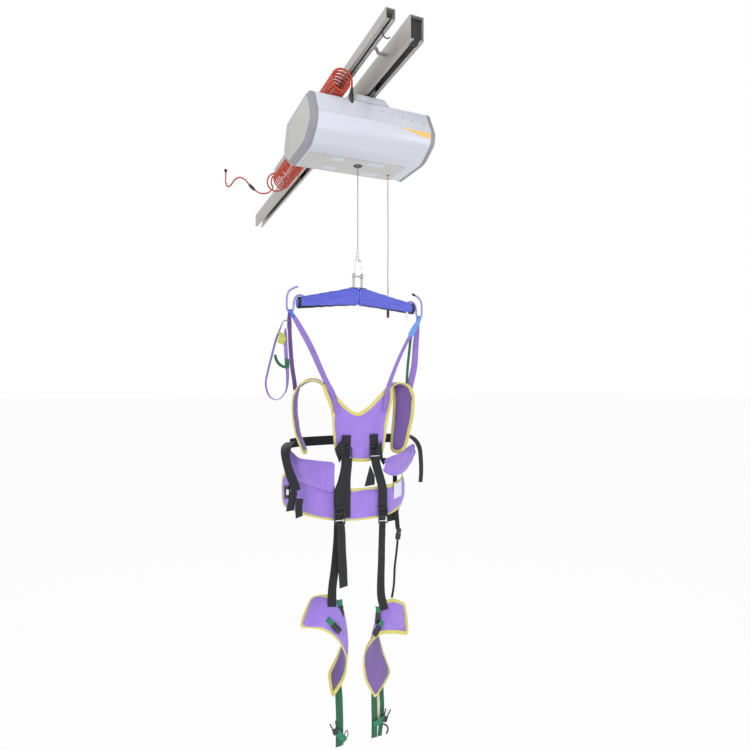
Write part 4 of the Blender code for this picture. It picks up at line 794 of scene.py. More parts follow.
def hoistCasing():
    long = casing["half"] * 2 - 0.0004
    upper = slab(shellOutline(shoulderLine, (0.018, 0.020, 0.0008), casing["wall"]), (0, 0, 0), (0, 1, 0),
                 (0, 0, 1), long, 0.0006)
    piece("upper_shell", upper, housingPlastic, "trolley", ("upper_cover",), 24)
    lower = slab(shellOutline(bellyLine[::-1], (0.022, 0.026, 0.0012), casing["wall"]), (0, 0, 0), (0, 1, 0),
                 (0, 0, 1), long, 0.0006)
    piece("lower_shell", lower, housingPlastic, "trolley", ("lower_cover",), 24)

    # The end caps: bands whose (distance out, inset) rows step in towards the end, and a plate in each
    top = np.array(shoulderLine)
    low = np.array(bellyLine[1:])
    ring = np.vstack([top[::-1] * (-1, 1), top, low, low[::-1] * (-1, 1)])
    ring = softened(ring, np.array([0.006, 0.020, 0.018, 0.018, 0.020, 0.006, 0.026, 0.022, 0.022, 0.026]), 7)
    for side, word in ((-1, "left"), (1, "right")):
        levels = ((0.2283, 0.0005), (0.2287, 0.0), (0.2340, 0.0), (0.2344, 0.0006), (0.2350, 0.0006),
                  (0.2354, 0.0), (0.2424, 0.0), (0.2436, 0.0012), (0.2536, 0.0132), (0.2546, 0.0146),
                  (0.2549, 0.0156), (0.2540, 0.0164))
        rows = [np.column_stack([np.full(len(ring), side * x), drawnIn(ring, inset) if inset else ring])
                for x, inset in levels]
        piece(f"end_band_{word}", skin(np.stack(rows)), bandPlastic, "trolley", (f"end_cap_{word}",), 30)
        face = slab(drawnIn(ring, 0.0170), (side * 0.2539, 0, 0), (0, 1, 0), (0, 0, 1), 0.0018, 0.0007)
        piece(f"end_plate_{word}", face, endPlastic, "trolley")

    # The seam's dark shadow gap and the thin bead below it, on both long sides
    for side, word in ((-1, "front"), (1, "rear")):
        stations = np.linspace((-0.2275, side * 0.1897, -0.2050), (0.2275, side * 0.1897, -0.2050), 5)
        bead = rod(stations, 0.0011, 10)
        piece(f"seam_bead_{word}", bead, housingPlastic, "trolley")
        stations[:, 1:] = side * 0.1885, -0.2040
        piece(f"seam_shadow_{word}", rod(stations, 0.0012, 8), blackPlastic, "trolley")
    # A gold stripe below the front seam, wider towards the right end, is a painted warm reflection; heights
    # are distances below the seam
    stripe = [(0.070, -0.0052), (0.2235, -0.0052), (0.2235, -0.0275), (0.200, -0.0255), (0.165, -0.0165),
              (0.120, -0.0090)]
    piece("gold_stripe", slab(stripe, (0, -0.1902, -0.2044), (1, 0, 0), (0, -0.1305, 0.9914), 0.0010, 0.0003),
          paintedReflectionPlastic, "trolley")

    saddle = []
    for left, right, half, z, edge in saddleRings:
        outline = rounded((right - left) / 2, half, edge, 6, ((left + right) / 2, 0))
        saddle.append(np.column_stack([outline, np.full(len(outline), z)]))
    saddleMesh = skin(np.stack(saddle), loopU=True)
    piece("hanger_saddle", saddleMesh, housingPlastic, "trolley", ("hanger_cover",), 30)

    # Shallow tray and two lighter patches below, whose lighter colour is painted highlight; screws along the
    # front, eyes for the rope and the cord
    tray = rounded(0.202, 0.078, 0.014, 6, (-0.016, 0.018))
    piece("underside_tray", slab(tray, (0, 0, -0.3008), (1, 0, 0), (0, 1, 0), 0.0016, 0.0006),
          undersidePlastic, "trolley")
    patches = [slab(rounded(half, 0.018, 0.006, 5, at), (0, 0, -0.3018), (1, 0, 0), (0, 1, 0), 0.0008, 0.0003)
               for half, at in ((0.024, (-0.098, -0.030)), (0.034, (0.060, -0.034)), (0.030, (-0.100, 0.060)),
                                (0.040, (0.075, 0.062)))]
    piece("underside_patches", joined(*patches), housingPlastic, "trolley")
    heads = []
    way = np.array((0, -0.0811, -0.0410)) / 0.0909
    for x, z in ((0.030, -0.150), (0.072, -0.152), (0.116, -0.160), (0.157, -0.165), (0.204, -0.169)):
        y = -0.149 - 0.041 * (-0.1224 - z) / 0.0812
        out = np.array((0, -0.0812, 0.0410)) / 0.0910
        path = np.array((x, y, z)) + out * np.array([[-0.001], [0.0004], [0.0009], [0.0011]])
        rings = carried(path, np.tile((1.0, 0, 0), (4, 1)), circle(1.0, 16),
                        np.array([0.0028, 0.0028, 0.0022, 0.0012]))
        heads.append(skin(rings))
    piece("casing_screws", joined(*heads), darkSteel, "trolley")
    bush = [(0.0034, -0.2970), (0.0170, -0.2970), (0.0176, -0.3004), (0.0182, -0.3016), (0.0176, -0.3030),
            (0.0150, -0.3035), (0.0080, -0.3033), (0.0055, -0.3026), (0.0034, -0.3010)]
    piece("rope_eye", turned(bush, sides=40, loop=True), blackPlastic, "trolley", ("rope_bush",))
    grommet = [(0.0022, -0.2975), (0.0060, -0.2975), (0.0066, -0.3006), (0.0060, -0.3022), (0.0040, -0.3028),
               (0.0024, -0.3018)]
    piece("pull_cord_eye", turned(grommet, (pull["x"], pull["y"], 0), sides=24, loop=True), redPlastic,
          "trolley")
    gland = [(0.0041, -0.1035), (0.0062, -0.1035), (0.0074, -0.1045), (0.0080, -0.1070), (0.0085, -0.1075),
             (0.0098, -0.1082), (0.0100, -0.1098), (0.0085, -0.1104), (0.0085, -0.1490), (0.0080, -0.1500),
             (0.0041, -0.1500)]
    piece("cable_gland_nut", turned(gland, (-0.088, -0.150, 0), sides=24, loop=True), blackPlastic, "trolley",
          ("cable_gland",))


hoistCasing()
print("hoist casing made")


# Shackle, fork and spreader bar

fork = {"pinZ": -0.743, "top": -0.730, "base": -0.8067, "bridge": -0.7907, "inner": 0.0155, "outer": 0.0190,
        "halfY": 0.011}
bail = {"half": 0.0125, "rod": 0.0025, "top": -0.6731}
bar = {"z": -0.8185, "slope": 0.1887, "bend": 0.020}
sleeve = {"half": 0.255, "tall": (0.0335, 0.0220), "low": (0.0420, 0.0205), "deep": (0.0215, 0.0155),
          "under": {"left": 5.5, "right": 3.2}, "stations": 64, "sides": 48}
hookRoute = ((0.212, -0.8386), (0.223, -0.8355), (0.235, -0.8315), (0.246, -0.8320), (0.255, -0.8385),
             (0.2615, -0.850), (0.2645, -0.866), (0.2655, -0.882), (0.2690, -0.8935), (0.278, -0.8985),
             (0.2875, -0.893), (0.2912, -0.880), (0.2915, -0.856), (0.2895, -0.836), (0.282, -0.819),
             (0.268, -0.808), (0.2495, -0.800))
cradle = {"x": 0.278, "z": -0.8985}


def barLine(x):
    # The bar's height: it slopes down to both ends from a rounded bend in the middle
    return bar["z"] - bar["slope"] * (np.hypot(x, bar["bend"]) - bar["bend"])


def shackleAndFork():
    # A bent hoop with a collar and two eyes, and the fork that hangs in it
    arch = bail["top"] - bail["half"]
    angle = np.linspace(0, math.pi, 17)
    arc = np.column_stack([-bail["half"] * np.cos(angle), 0 * angle, arch + bail["half"] * np.sin(angle)])
    ends = np.array([[-bail["half"], 0, fork["pinZ"] + 0.006], [bail["half"], 0, fork["pinZ"] + 0.006]])
    hoop = rod(routed(np.vstack([ends[:1], arc, ends[1:]]), 0.002), bail["rod"], 18)
    collar = turned([(0.0034, -0.6672), (0.0058, -0.6670), (0.0065, -0.6677), (0.0065, -0.6788),
                     (0.0058, -0.6795), (0.0034, -0.6793)], sides=28, loop=True)
    eyes = []
    for side in (-1, 1):
        ring = [(0.0043, -0.0027), (0.0074, -0.0027), (0.0080, -0.0020), (0.0080, 0.0020), (0.0074, 0.0027),
                (0.0043, 0.0027)]
        eyes.append(turned(ring, (side * bail["half"], 0, fork["pinZ"]), "X", 28, True))
    piece("swivel_shackle", joined(hoop, collar, *eyes), steel, "bail", ("shackle_bail",))

    o = fork["outer"]
    i = fork["inner"]
    outline = softened([(-o, fork["base"]), (o, fork["base"]), (o, fork["top"]), (i, fork["top"]),
                        (i, fork["bridge"]), (-i, fork["bridge"]), (-i, fork["top"]), (-o, fork["top"])],
                       np.array([0.003, 0.003, 0.0012, 0.0012, 0.004, 0.004, 0.0012, 0.0012]), 5)
    plates = slab(outline, (0, 0, 0), (1, 0, 0), (0, 0, 1), 2 * fork["halfY"], 0.0008)
    piece("bar_fork", plates, steel, "spreader", ("clevis_fork",), 30)


def sleevePoints(side):
    # Ring after ring along the bar's line: tall and narrow at the fork, lower at the end, its sides slack;
    # low cross folds fade to both ends, and one long fold runs below the front's middle
    share = np.linspace(0, 1, sleeve["stations"])
    x = side * (0.0002 + (sleeve["half"] - 0.0008) * share)
    angle = np.arange(sleeve["sides"]) * turn / sleeve["sides"]
    tall, low, deep = (sleeve[key][0] + (sleeve[key][1] - sleeve[key][0]) * share ** power
                       for key, power in (("tall", 0.9), ("low", 0.9), ("deep", 1)))
    close = 1 - 0.16 * np.clip(1 - share / 0.03, 0, 1) ** 2
    close = close - 0.35 * np.clip((share - 0.975) / 0.025, 0, 1) ** 2
    fold = 1 + 0.022 * np.sin(share * 34 + 1.3 * np.sin(share * 11)) * np.sin(share * math.pi) ** 0.5
    valley = math.pi + 0.42 + 0.12 * np.sin(share * 9)[:, None]
    groove = 1 - 0.16 * np.exp(-((angle - valley) / 0.16) ** 2) * np.sin(share * math.pi)[:, None] ** 0.4
    y = (deep * close)[:, None] * np.sign(np.cos(angle)) * np.abs(np.cos(angle)) ** 0.9 * groove
    z = (close * fold)[:, None] * np.where(np.sin(angle) > 0, tall[:, None], low[:, None]) * np.sin(angle)
    return np.stack([x[:, None] + 0 * y, y, barLine(x)[:, None] + z], -1)


def spreaderBar():
    # Strips and seams on a sleeve follow its own grid: column 0 is its back, 12 its top, 24 its front and
    # 36 its underside
    for side, word in ((-1, "left"), (1, "right")):
        points = sleevePoints(side)
        made = piece(f"bar_sleeve_{word}", skin(points), blueCover, "spreader", (f"sleeve_{word}",), 60)
        # Narrow black edging at the outer end
        last = points[-5:-1]
        middle = np.stack([last[:, :, 0], 0 * last[:, :, 1], barLine(last[:, :, 0])], -1)
        tube = middle + (last - middle) * 1.035
        piece(f"sleeve_end_band_{word}", skin(tube), blackWebbing, "spreader")
        # Black closing strip under the sleeve: it climbs the front towards the outer end
        rows = np.arange(3, sleeve["stations"] - 3)
        reach = 1.6 + sleeve["under"][word] * (rows / (sleeve["stations"] - 1)) ** 1.4
        at = 37.6 - (1.6 + reach)[:, None] * np.linspace(0, 1, 9)
        part = (at - np.floor(at))[..., None]
        shell = points[rows[:, None], np.floor(at).astype(int)] * (1 - part)
        shell = shell + points[rows[:, None], np.floor(at).astype(int) + 1] * part
        middle = np.stack([shell[..., 0], 0 * shell[..., 1], barLine(shell[..., 0])], -1)
        outwards = unit(shell - middle)
        strip = np.concatenate([shell + outwards * 0.0012, (shell - outwards * 0.0006)[:, ::-1]], axis=1)
        piece(f"sleeve_closing_strip_{word}", skin(strip), blackWebbing, "spreader")
        # Raised seams along both long sides of the sleeve
        for index, name in ((0, "rear"), (24, "front")):
            seam = points[3:-9, index] + (0, 0.0004 if index == 0 else -0.0004, 0)
            piece(f"sleeve_seam_{name}_{word}", rod(seam, 0.0007, 8), blueCover, "spreader")
        path = routed(np.insert(np.array(hookRoute), 1, 0, axis=1) * (side, 1, 1), 0.0025)
        piece(f"bar_hook_{word}", rod(path, 0.0039, 18), rodCoat, "spreader", (f"hook_{word}",))
        # Dark edging slants down from the sleeve's top to the middle: the two make a V in front of the fork
        step = np.linspace(0, 1, 9)
        edge = points[np.round(9 * (1 - step)).astype(int), np.round(13 + 6 * step).astype(int)]
        edge = edge + (0, -0.0008, 0.0003)
        piece(f"sleeve_edging_{word}", rod(routed(edge, 0.003), 0.0013, 8), blackWebbing, "spreader")
        if word == "right":
            piece("hook_tip_right", rod(path[-4:], 0.0050, 16), blackPlastic, "spreader")


shackleAndFork()
spreaderBar()
print("spreader bar made")


# Padded panels

padding = {"edge": 0.026, "rows": 17, "pressure": 4.0, "frames": 20, "cap": 0.0032, "rimReach": 0.026}
# The binding's section (inwards, up): it opens from the rim towards the padding
binding = softened([(-0.0018, -0.0018), (0.0122, -0.0039), (0.0122, 0.0039), (-0.0018, 0.0018)], 0.0015, 4)
swelling = []


def runOf(line):
    # How far along a line each of its points lies
    return np.concatenate([[0], np.cumsum(np.linalg.norm(np.diff(line, axis=0), axis=1))])


def roundedEnds(edgeA, edgeB, radius):
    # Both edges of a band close in on each other near its ends, along a quarter circle
    across = unit(edgeB - edgeA)
    run = runOf((edgeA + edgeB) / 2)
    near = np.minimum(run, run[-1] - run)
    inset = radius - np.sqrt(np.maximum(radius ** 2 - np.maximum(radius - near, 0) ** 2, 0))
    return edgeA + across * inset[:, None], edgeB - across * inset[:, None]


def bandEdges(edgeA, edgeB, count, radius):
    # Two smooth edges read at equally many points, their ends rounded off
    length = max(lengthOf(np.asarray(edgeA, float)), lengthOf(np.asarray(edgeB, float)))
    both = []
    for edge in (edgeA, edgeB):
        line = routed(edge, length / 400)
        run = np.linspace(0, len(line) - 1, count)
        both.append(np.stack([np.interp(run, np.arange(len(line)), column) for column in line.T], 1))
    return roundedEnds(both[0], both[1], radius)


def bandMiddle(a, b, bow, crease=None):
    # The panel's middle surface: straight from edge to edge, lifted by bow * 4v(1 - v) square to itself,
    # with low folds where a crease (height, waves along, slant) is given
    v = (1 - np.cos(np.linspace(0, math.pi, padding["rows"]))) / 2
    middle = a[:, None] * (1 - v[None, :, None]) + b[:, None] * v[None, :, None]
    square = unit(np.cross(np.gradient(middle, axis=0), np.gradient(middle, axis=1)))
    lift = bow * 4 * v * (1 - v) + np.zeros((len(a), 1))
    if crease is not None:
        high, waves, slant = crease
        u = np.linspace(0, 1, len(a))[:, None]
        fold = np.sin(turn * (waves * u + slant * v))
        fold = fold + 0.5 * np.sin(turn * (waves * 1.7 * u - slant * v) + 1.0)
        lift = lift + high * fold * np.sin(math.pi * v) ** 0.6
    return middle + square * lift[..., None], square, v


def padMesh(a, b, thick, bow, crease):
    # A closed pad over the middle surface: half its thickness goes to each side, and it thins to nothing at
    # the rim as the square root of the distance from it
    middle, square, v = bandMiddle(a, b, bow, crease)
    wide = np.linalg.norm(b - a, axis=1)[:, None]
    run = runOf((a + b) / 2)[:, None]
    fromEnd = np.minimum(run, run[-1] - run)
    fromSide = np.minimum(v, 1 - v)[None] * wide
    body = np.sqrt(np.clip(fromEnd / padding["edge"], 0, 1) * np.clip(fromSide / padding["edge"], 0, 1))
    half = (square * thick / 2) * body[..., None]
    back = (middle - half)[:, ::-1][:, 1:-1]
    return skin(np.concatenate([middle + half, back], axis=1), capped=False)


def rimOf(a, b):
    # The panel's outline as one closed line, and the way inwards at each of its points: to a point of the
    # middle line that keeps away from both ends, or to its middle where the panel is wider than long
    loop = np.vstack([a, b[::-1]])
    middle = (a + b) / 2
    widest = np.linalg.norm(b - a, axis=1).max()
    run = runOf(middle)
    near = run * 0 + run[-1] / 2
    if run[-1] > widest:
        near = np.clip(run, 0.45 * widest, run[-1] - 0.45 * widest)
    held = np.stack([np.interp(near, run, column) for column in middle.T], 1)
    inwards = np.vstack([held - a, (held - b)[::-1]])
    keep = np.linalg.norm(np.roll(loop, -1, 0) - loop, axis=1) > 1e-5
    joint = np.column_stack([loop[keep], unit(inwards[keep])])
    line = routed(joint, 0.004, closed=True)
    return line[:, :3], line[:, 3:]


def paddedPanel(name, edgeA, edgeB, body, stands, thick, bow, count, radius, crease, bound=True, lining=0,
                cap=padding["cap"]):
    # A pad between two edges, with binding tape folded over its rim where it is bound; lining says which
    # side of its middle surface wears the lining
    a, b = bandEdges(edgeA, edgeB, count, radius)
    made = piece(name, padMesh(a, b, thick, bow, crease), purpleCloth, None, stands, 0)
    middle, square, _ = bandMiddle(a, b, bow)
    swelling.append({"made": made, "rim": np.vstack([a, b]), "body": body, "cap": cap,
                     "middle": middle.reshape(-1, 3), "lined": square.reshape(-1, 3) * lining})
    if bound:
        line, inwards = rimOf(a, b)
        tape = carried(line, inwards, binding, closed=True)
        piece(f"{name}_binding", skin(tape, loopU=True, across=binding[:, 0] - 0.004), yellowBinding, body)


def blowUp():
    # Cloth pressure in every pad at once, and the points where it has brought them
    for pad in swelling:
        cloth = pad["made"].modifiers.new("swell", "CLOTH")
        cloth.settings.use_pressure = True
        cloth.settings.uniform_pressure_force = padding["pressure"]
        cloth.settings.effector_weights.gravity = 0
        cloth.settings.quality = 4
        cloth.point_cache.frame_start = 1
        cloth.point_cache.frame_end = padding["frames"]
    for number in range(1, padding["frames"] + 1):
        bpy.context.scene.frame_set(number)
    solved = bpy.context.evaluated_depsgraph_get()
    blown = [readAll(pad["made"].evaluated_get(solved).data.vertices, "co") for pad in swelling]
    for pad in swelling:
        pad["made"].modifiers.clear()
    return blown


def swellPads():
    # How far a point may move under the pressure is capped, and goes down to nothing at the rim, which the
    # binding holds. Then the pad is evened and gets one subdivision.
    rests = [readAll(pad["made"].data.vertices, "co") for pad in swelling]
    blown = blowUp()
    for pad, rest, moved in zip(swelling, rests, blown):
        made = pad["made"]
        step = moved - rest
        far = np.linalg.norm(step, axis=1, keepdims=True)
        nearest = np.concatenate([np.linalg.norm(part[:, None] - pad["rim"][None], axis=2).min(axis=1)
                                  for part in np.array_split(rest, 12)])
        free = np.clip(nearest / padding["rimReach"], 0, 1)[:, None] ** 0.7
        ends = rest + step * np.minimum(1, pad["cap"] / np.maximum(far, 1e-9)) * free
        made.data.vertices.foreach_set("co", ends.astype(np.float32).ravel())
        made.data.update()
        made.data.shade_smooth()
        evened = made.modifiers.new("evened", "SMOOTH")
        evened.factor = 0.5
        evened.iterations = 3
        finer = made.modifiers.new("finer", "SUBSURF")
        finer.levels = 1
        finer.render_levels = 1
        bpy.context.view_layer.update()
        final = bpy.data.meshes.new_from_object(made.evaluated_get(bpy.context.evaluated_depsgraph_get()))
        made.modifiers.clear()
        made.data = final
        if pad["lined"].any():
            lineInside(final, pad["middle"], pad["lined"])
        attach(made, pad["body"])
    bpy.context.scene.frame_set(1)


def lineInside(mesh, middle, lined):
    # The lining goes on faces that look the same way as the lined side of the middle surface's nearest point
    mesh.materials.append(innerCloth)
    square = readAll(mesh.polygons, "normal")
    centre = readAll(mesh.polygons, "center")
    nearest = np.concatenate([((part[:, None] - middle[None]) ** 2).sum(axis=2).argmin(axis=1)
                              for part in np.array_split(centre, 60)])
    looks = (square * lined[nearest]).sum(1) > 0.1
    mesh.polygons.foreach_set("material_index", looks.astype(np.int32))


# Straps, sliders, buckles and stitches

def flatBand():
    # A webbing's section, one wide each way: its edges a little thicker than its middle
    across = np.linspace(-0.94, 0.94, 9)
    thick = 0.86 + 0.2 * (np.abs(across) > 0.8)
    top = np.column_stack([across, thick])
    return np.vstack([[(-1.0, 0.0)], top, [(1.0, 0.0)], top[::-1] * (1, -1)])


def strap(name, points, shade, body, stands=(), slot=None, side=(1.0, 0, 0), thick=0.0022, step=0.006,
          wave=0.0):
    # Webbing along a smooth line: the fourth column is half its width, and three more, where they are given,
    # are the direction of its width at each point; a wave bends it a little
    line = routed(points, step)
    path = line[:, :3]
    side = line[:, 4:] if line.shape[1] > 4 else side
    if wave:
        run = np.arange(len(path)) * step
        up = np.cross(unit(np.gradient(path, axis=0)), np.asarray(side, float))
        path = path + up * (wave * np.sin(run * 41) * np.sin(math.pi * np.linspace(0, 1, len(run))))[:, None]
    section = flatBand()
    half = line[:, 3]
    surface = carried(path, side, section, np.column_stack([half, half * 0 + thick / 2]))
    mesh = skin(surface, across=section[:, 0] * half.mean())
    return piece(name, mesh, shade, body, stands, 50)


def withHalf(points, half):
    # The points with the same half width at each
    flat = np.asarray(points, float)
    return np.column_stack([flat, np.full(len(flat), half)])


def slider(name, at, wide, tall, bars, white):
    # A ladder slider that faces the front: a rounded frame, two black cross bars and a pale one before them,
    # which is a painted highlight
    loop = np.insert(rounded(wide, tall, 0.0035, 5), 1, 0, axis=1)
    ring = carried(loop + at, -loop, rounded(0.0021, 0.0019, 0.0011, 4), closed=True)
    span = np.linspace((-wide, 0, 0), (wide, 0, 0), 5)
    rungs = [rod(span + at + (0, 0, up), 0.0021, 10, start=(0, 0, 1.0)) for up in bars]
    piece(name, joined(skin(ring, loopU=True), *rungs), blackPlastic, "harness")
    # The pale bar is a painted highlight on the dark frame
    pale = rod(span * 0.86 + at + (0, -0.0016, white), 0.0019, 10, start=(0, 0, 1.0))
    piece(f"{name}_bar", pale, whitePlastic, "harness")


def buckle(name, at, along, across, wide, long, body):
    # A side release buckle: a hollow body, the two arms that stand out of it, and its far plate with a bar
    a = unit(np.asarray(across, float))
    b = unit(np.asarray(along, float) - a * np.dot(along, a))
    spot = np.asarray(at, float)
    shell = softened([(-wide, -long), (wide, -long), (wide, -0.1 * long), (0.78 * wide, 0.16 * long),
                      (-0.78 * wide, 0.16 * long), (-wide, -0.1 * long)], 0.003, 5)
    plate = softened([(-0.86 * wide, 0.24 * long), (0.86 * wide, 0.24 * long), (wide, 0.5 * long),
                      (wide, long), (-wide, long), (-wide, 0.5 * long)], 0.003, 5)
    tongue = rounded(0.34 * wide, 0.22 * long, 0.0015, 4, (0, 0.1 * long))
    meshes = [slab(shell, spot, a, b, 0.0085, 0.0018), slab(plate, spot, a, b, 0.0058, 0.0014),
              slab(tongue, spot, a, b, 0.0050, 0.0008)]
    for side in (-1, 1):
        arm = softened([(side * 0.80 * wide, 0.3 * long), (side * 1.02 * wide, 0.12 * long),
                        (side * 1.12 * wide, -0.25 * long), (side * 0.92 * wide, -0.42 * long),
                        (side * 0.70 * wide, -0.1 * long)], 0.0015, 4)
        meshes.append(slab(arm, spot, a, b, 0.0062, 0.0012))
    for up in (-0.78 * long, 0.78 * long):
        ends = spot + np.linspace(-wide * 0.8, wide * 0.8, 3)[:, None] * a + up * b + np.cross(a, b) * 0.0030
        meshes.append(rod(ends, 0.0013, 8, start=tuple(b)))
    piece(name, joined(*meshes), blackPlastic, body)


thread = {"half": 0.0013, "thick": 0.00035}


def stitches(name, line, up, shade, body, pitch=0.0042):
    # A row of thread stitches: each is a small flat spindle on the line, standing a little proud of it
    half = thread["half"]
    thick = thread["thick"]
    path = routed(line, pitch)
    way = unit(np.gradient(path, axis=0))
    up = unit(np.broadcast_to(np.asarray(up, float), path.shape))
    side = np.cross(way, up)
    spots = [(-half, 0, 0), (0, thick * 1.6, 0), (half, 0, 0), (0, -thick * 1.6, 0), (0, 0, thick),
             (0, 0, -thick)]
    ways = np.stack([way, side, up], 1)
    points = path[:, None] + np.einsum("ij,njk->nik", np.array(spots), ways)
    corner = np.array([(0, 1, 4), (1, 2, 4), (2, 3, 4), (3, 0, 4), (1, 0, 5), (2, 1, 5), (3, 2, 5),
                       (0, 3, 5)])
    faces = (corner[None] + 6 * np.arange(len(path))[:, None, None]).reshape(-1, 3)
    mesh = bpy.data.meshes.new(name)
    mesh.from_pydata(points.reshape(-1, 3).tolist(), [], faces.tolist())
    piece(name, cleaned(mesh, 0.000001), shade, body)


# Vest, side wings and risers

vest = {"y": -0.010, "strapY": -0.0185}
vestOuter = [(-0.159, -1.163), (-0.138, -1.219), (-0.116, -1.274), (-0.107, -1.369), (-0.100, -1.427),
             (-0.088, -1.459), (-0.030, -1.477), (0.045, -1.481), (0.098, -1.461), (0.116, -1.397),
             (0.124, -1.335), (0.137, -1.280), (0.150, -1.231), (0.148, -1.184)]
vestNeck = [(-0.138, -1.167), (-0.112, -1.198), (-0.088, -1.227), (-0.046, -1.268), (-0.005, -1.288),
            (0.036, -1.269), (0.084, -1.226), (0.108, -1.203), (0.126, -1.182)]
wings = {
    "left": ([(-0.138, -0.0040, -1.190), (-0.168, -0.0050, -1.166), (-0.210, -0.008, -1.161),
              (-0.250, -0.016, -1.180), (-0.272, -0.020, -1.215), (-0.275, -0.020, -1.290),
              (-0.263, -0.020, -1.362), (-0.232, -0.018, -1.4398)],
             [(-0.112, 0.055, -1.180), (-0.140, 0.065, -1.156), (-0.180, 0.065, -1.153),
              (-0.212, 0.062, -1.172), (-0.230, 0.060, -1.206), (-0.232, 0.060, -1.290),
              (-0.222, 0.058, -1.362), (-0.192, 0.055, -1.4398)]),
    "right": ([(0.146, -0.0030, -1.210), (0.158, -0.0050, -1.182), (0.190, -0.006, -1.170),
               (0.228, -0.008, -1.180), (0.247, -0.010, -1.213), (0.248, -0.010, -1.290),
               (0.230, -0.010, -1.372), (0.208, -0.008, -1.4585)],
              [(0.150, 0.045, -1.206), (0.157, 0.058, -1.180), (0.167, 0.066, -1.167),
               (0.179, 0.068, -1.173), (0.189, 0.066, -1.205), (0.190, 0.066, -1.290),
               (0.182, 0.064, -1.372), (0.170, 0.055, -1.4660)])}


def upperBody():
    # The vest between its outer edge and its neck, and the two wings that stand out beside it
    outer, neck = (np.insert(np.array(line), 1, vest["y"], axis=1) for line in (vestOuter, vestNeck))
    paddedPanel("vest_panel_pad", outer, neck, "harness", ("vest_panel",), 0.0075, 0.0, 74, 0.006,
                (0.0010, 3.0, 1.0), cap=0.0022)
    for word, radius, lining in (("left", 0.014, 1), ("right", 0.034, -1)):
        paddedPanel(f"wing_pad_{word}", *wings[word], "harness", (f"wing_{word}",), 0.0075, 0.002, 60, radius,
                    (0.0010, 4.0, 0.6), lining=lining)
    # A sewn square of stitches near the foot of the right wing's lining
    corners = np.array([(-1, -1), (1, -1), (1, 1), (-1, 1), (-1, -1), (1, 1), (-1, 1), (1, -1)])
    patch = np.array((0.2035, 0.028, -1.415)) + corners @ np.array([(-0.0052, 0.0115, 0), (0, 0, 0.012)])
    for index in range(7):
        ends = np.stack([patch[index], (patch[index] + patch[index + 1]) / 2, patch[index + 1]])
        stitches(f"wing_stitch_{index}", ends, (-1, -0.4, 0), lilacWebbing, "harness")


risers = {
    "left": {"front": [(-0.097, -0.0195, -1.285, 0.010), (-0.101, -0.0195, -1.262, 0.010),
                       (-0.110, -0.0190, -1.215, 0.010), (-0.143, -0.0175, -1.155, 0.011),
                       (-0.205, -0.014, -1.023, 0.012), (-0.262, -0.0125, -0.925, 0.0095)],
             "rear": [(-0.277, 0.0125, -0.925, 0.0065), (-0.2718, 0.024, -1.000, 0.0080),
                      (-0.2637, 0.026, -1.100, 0.0085), (-0.2530, 0.028, -1.168, 0.0085),
                      (-0.2500, 0.029, -1.195, 0.0085)],
             "eyeFront": [(-0.266, -0.0140, -0.919, 0.0085)],
             "eyeRear": [(-0.2772, 0.0150, -0.926, 0.0085), (-0.2745, 0.0225, -0.962, 0.0092)],
             "stitches": [(-0.2765, 0.0150, -0.936), (-0.2755, 0.0172, -0.946), (-0.2748, 0.0195, -0.956)]},
    "right": {"front": [(0.110, -0.0195, -1.285, 0.010), (0.113, -0.0195, -1.262, 0.010),
                        (0.119, -0.0190, -1.215, 0.010), (0.133, -0.0175, -1.170, 0.0092),
                        (0.189, -0.014, -1.046, 0.0074), (0.258, -0.0125, -0.928, 0.0074)],
              "rear": [(0.2785, 0.0125, -0.925, 0.0095), (0.2735, 0.018, -1.000, 0.014),
                       (0.2640, 0.016, -1.100, 0.015), (0.2440, 0.010, -1.170, 0.015),
                       (0.2360, 0.008, -1.200, 0.014)],
              "eyeFront": [(0.2280, -0.0160, -0.976, 0.0125), (0.2480, -0.0150, -0.944, 0.0125)],
              "eyeRear": [(0.2785, 0.0150, -0.916, 0.0080)],
              "stitches": [(0.2440, -0.0164, -0.950), (0.2360, -0.0168, -0.962), (0.2300, -0.0172, -0.972)]}}
wrapRadius = 0.0082  # of the webbing's middle over the hook
seamOut = 0.0075  # the shoulder stitches' distance from the riser's middle


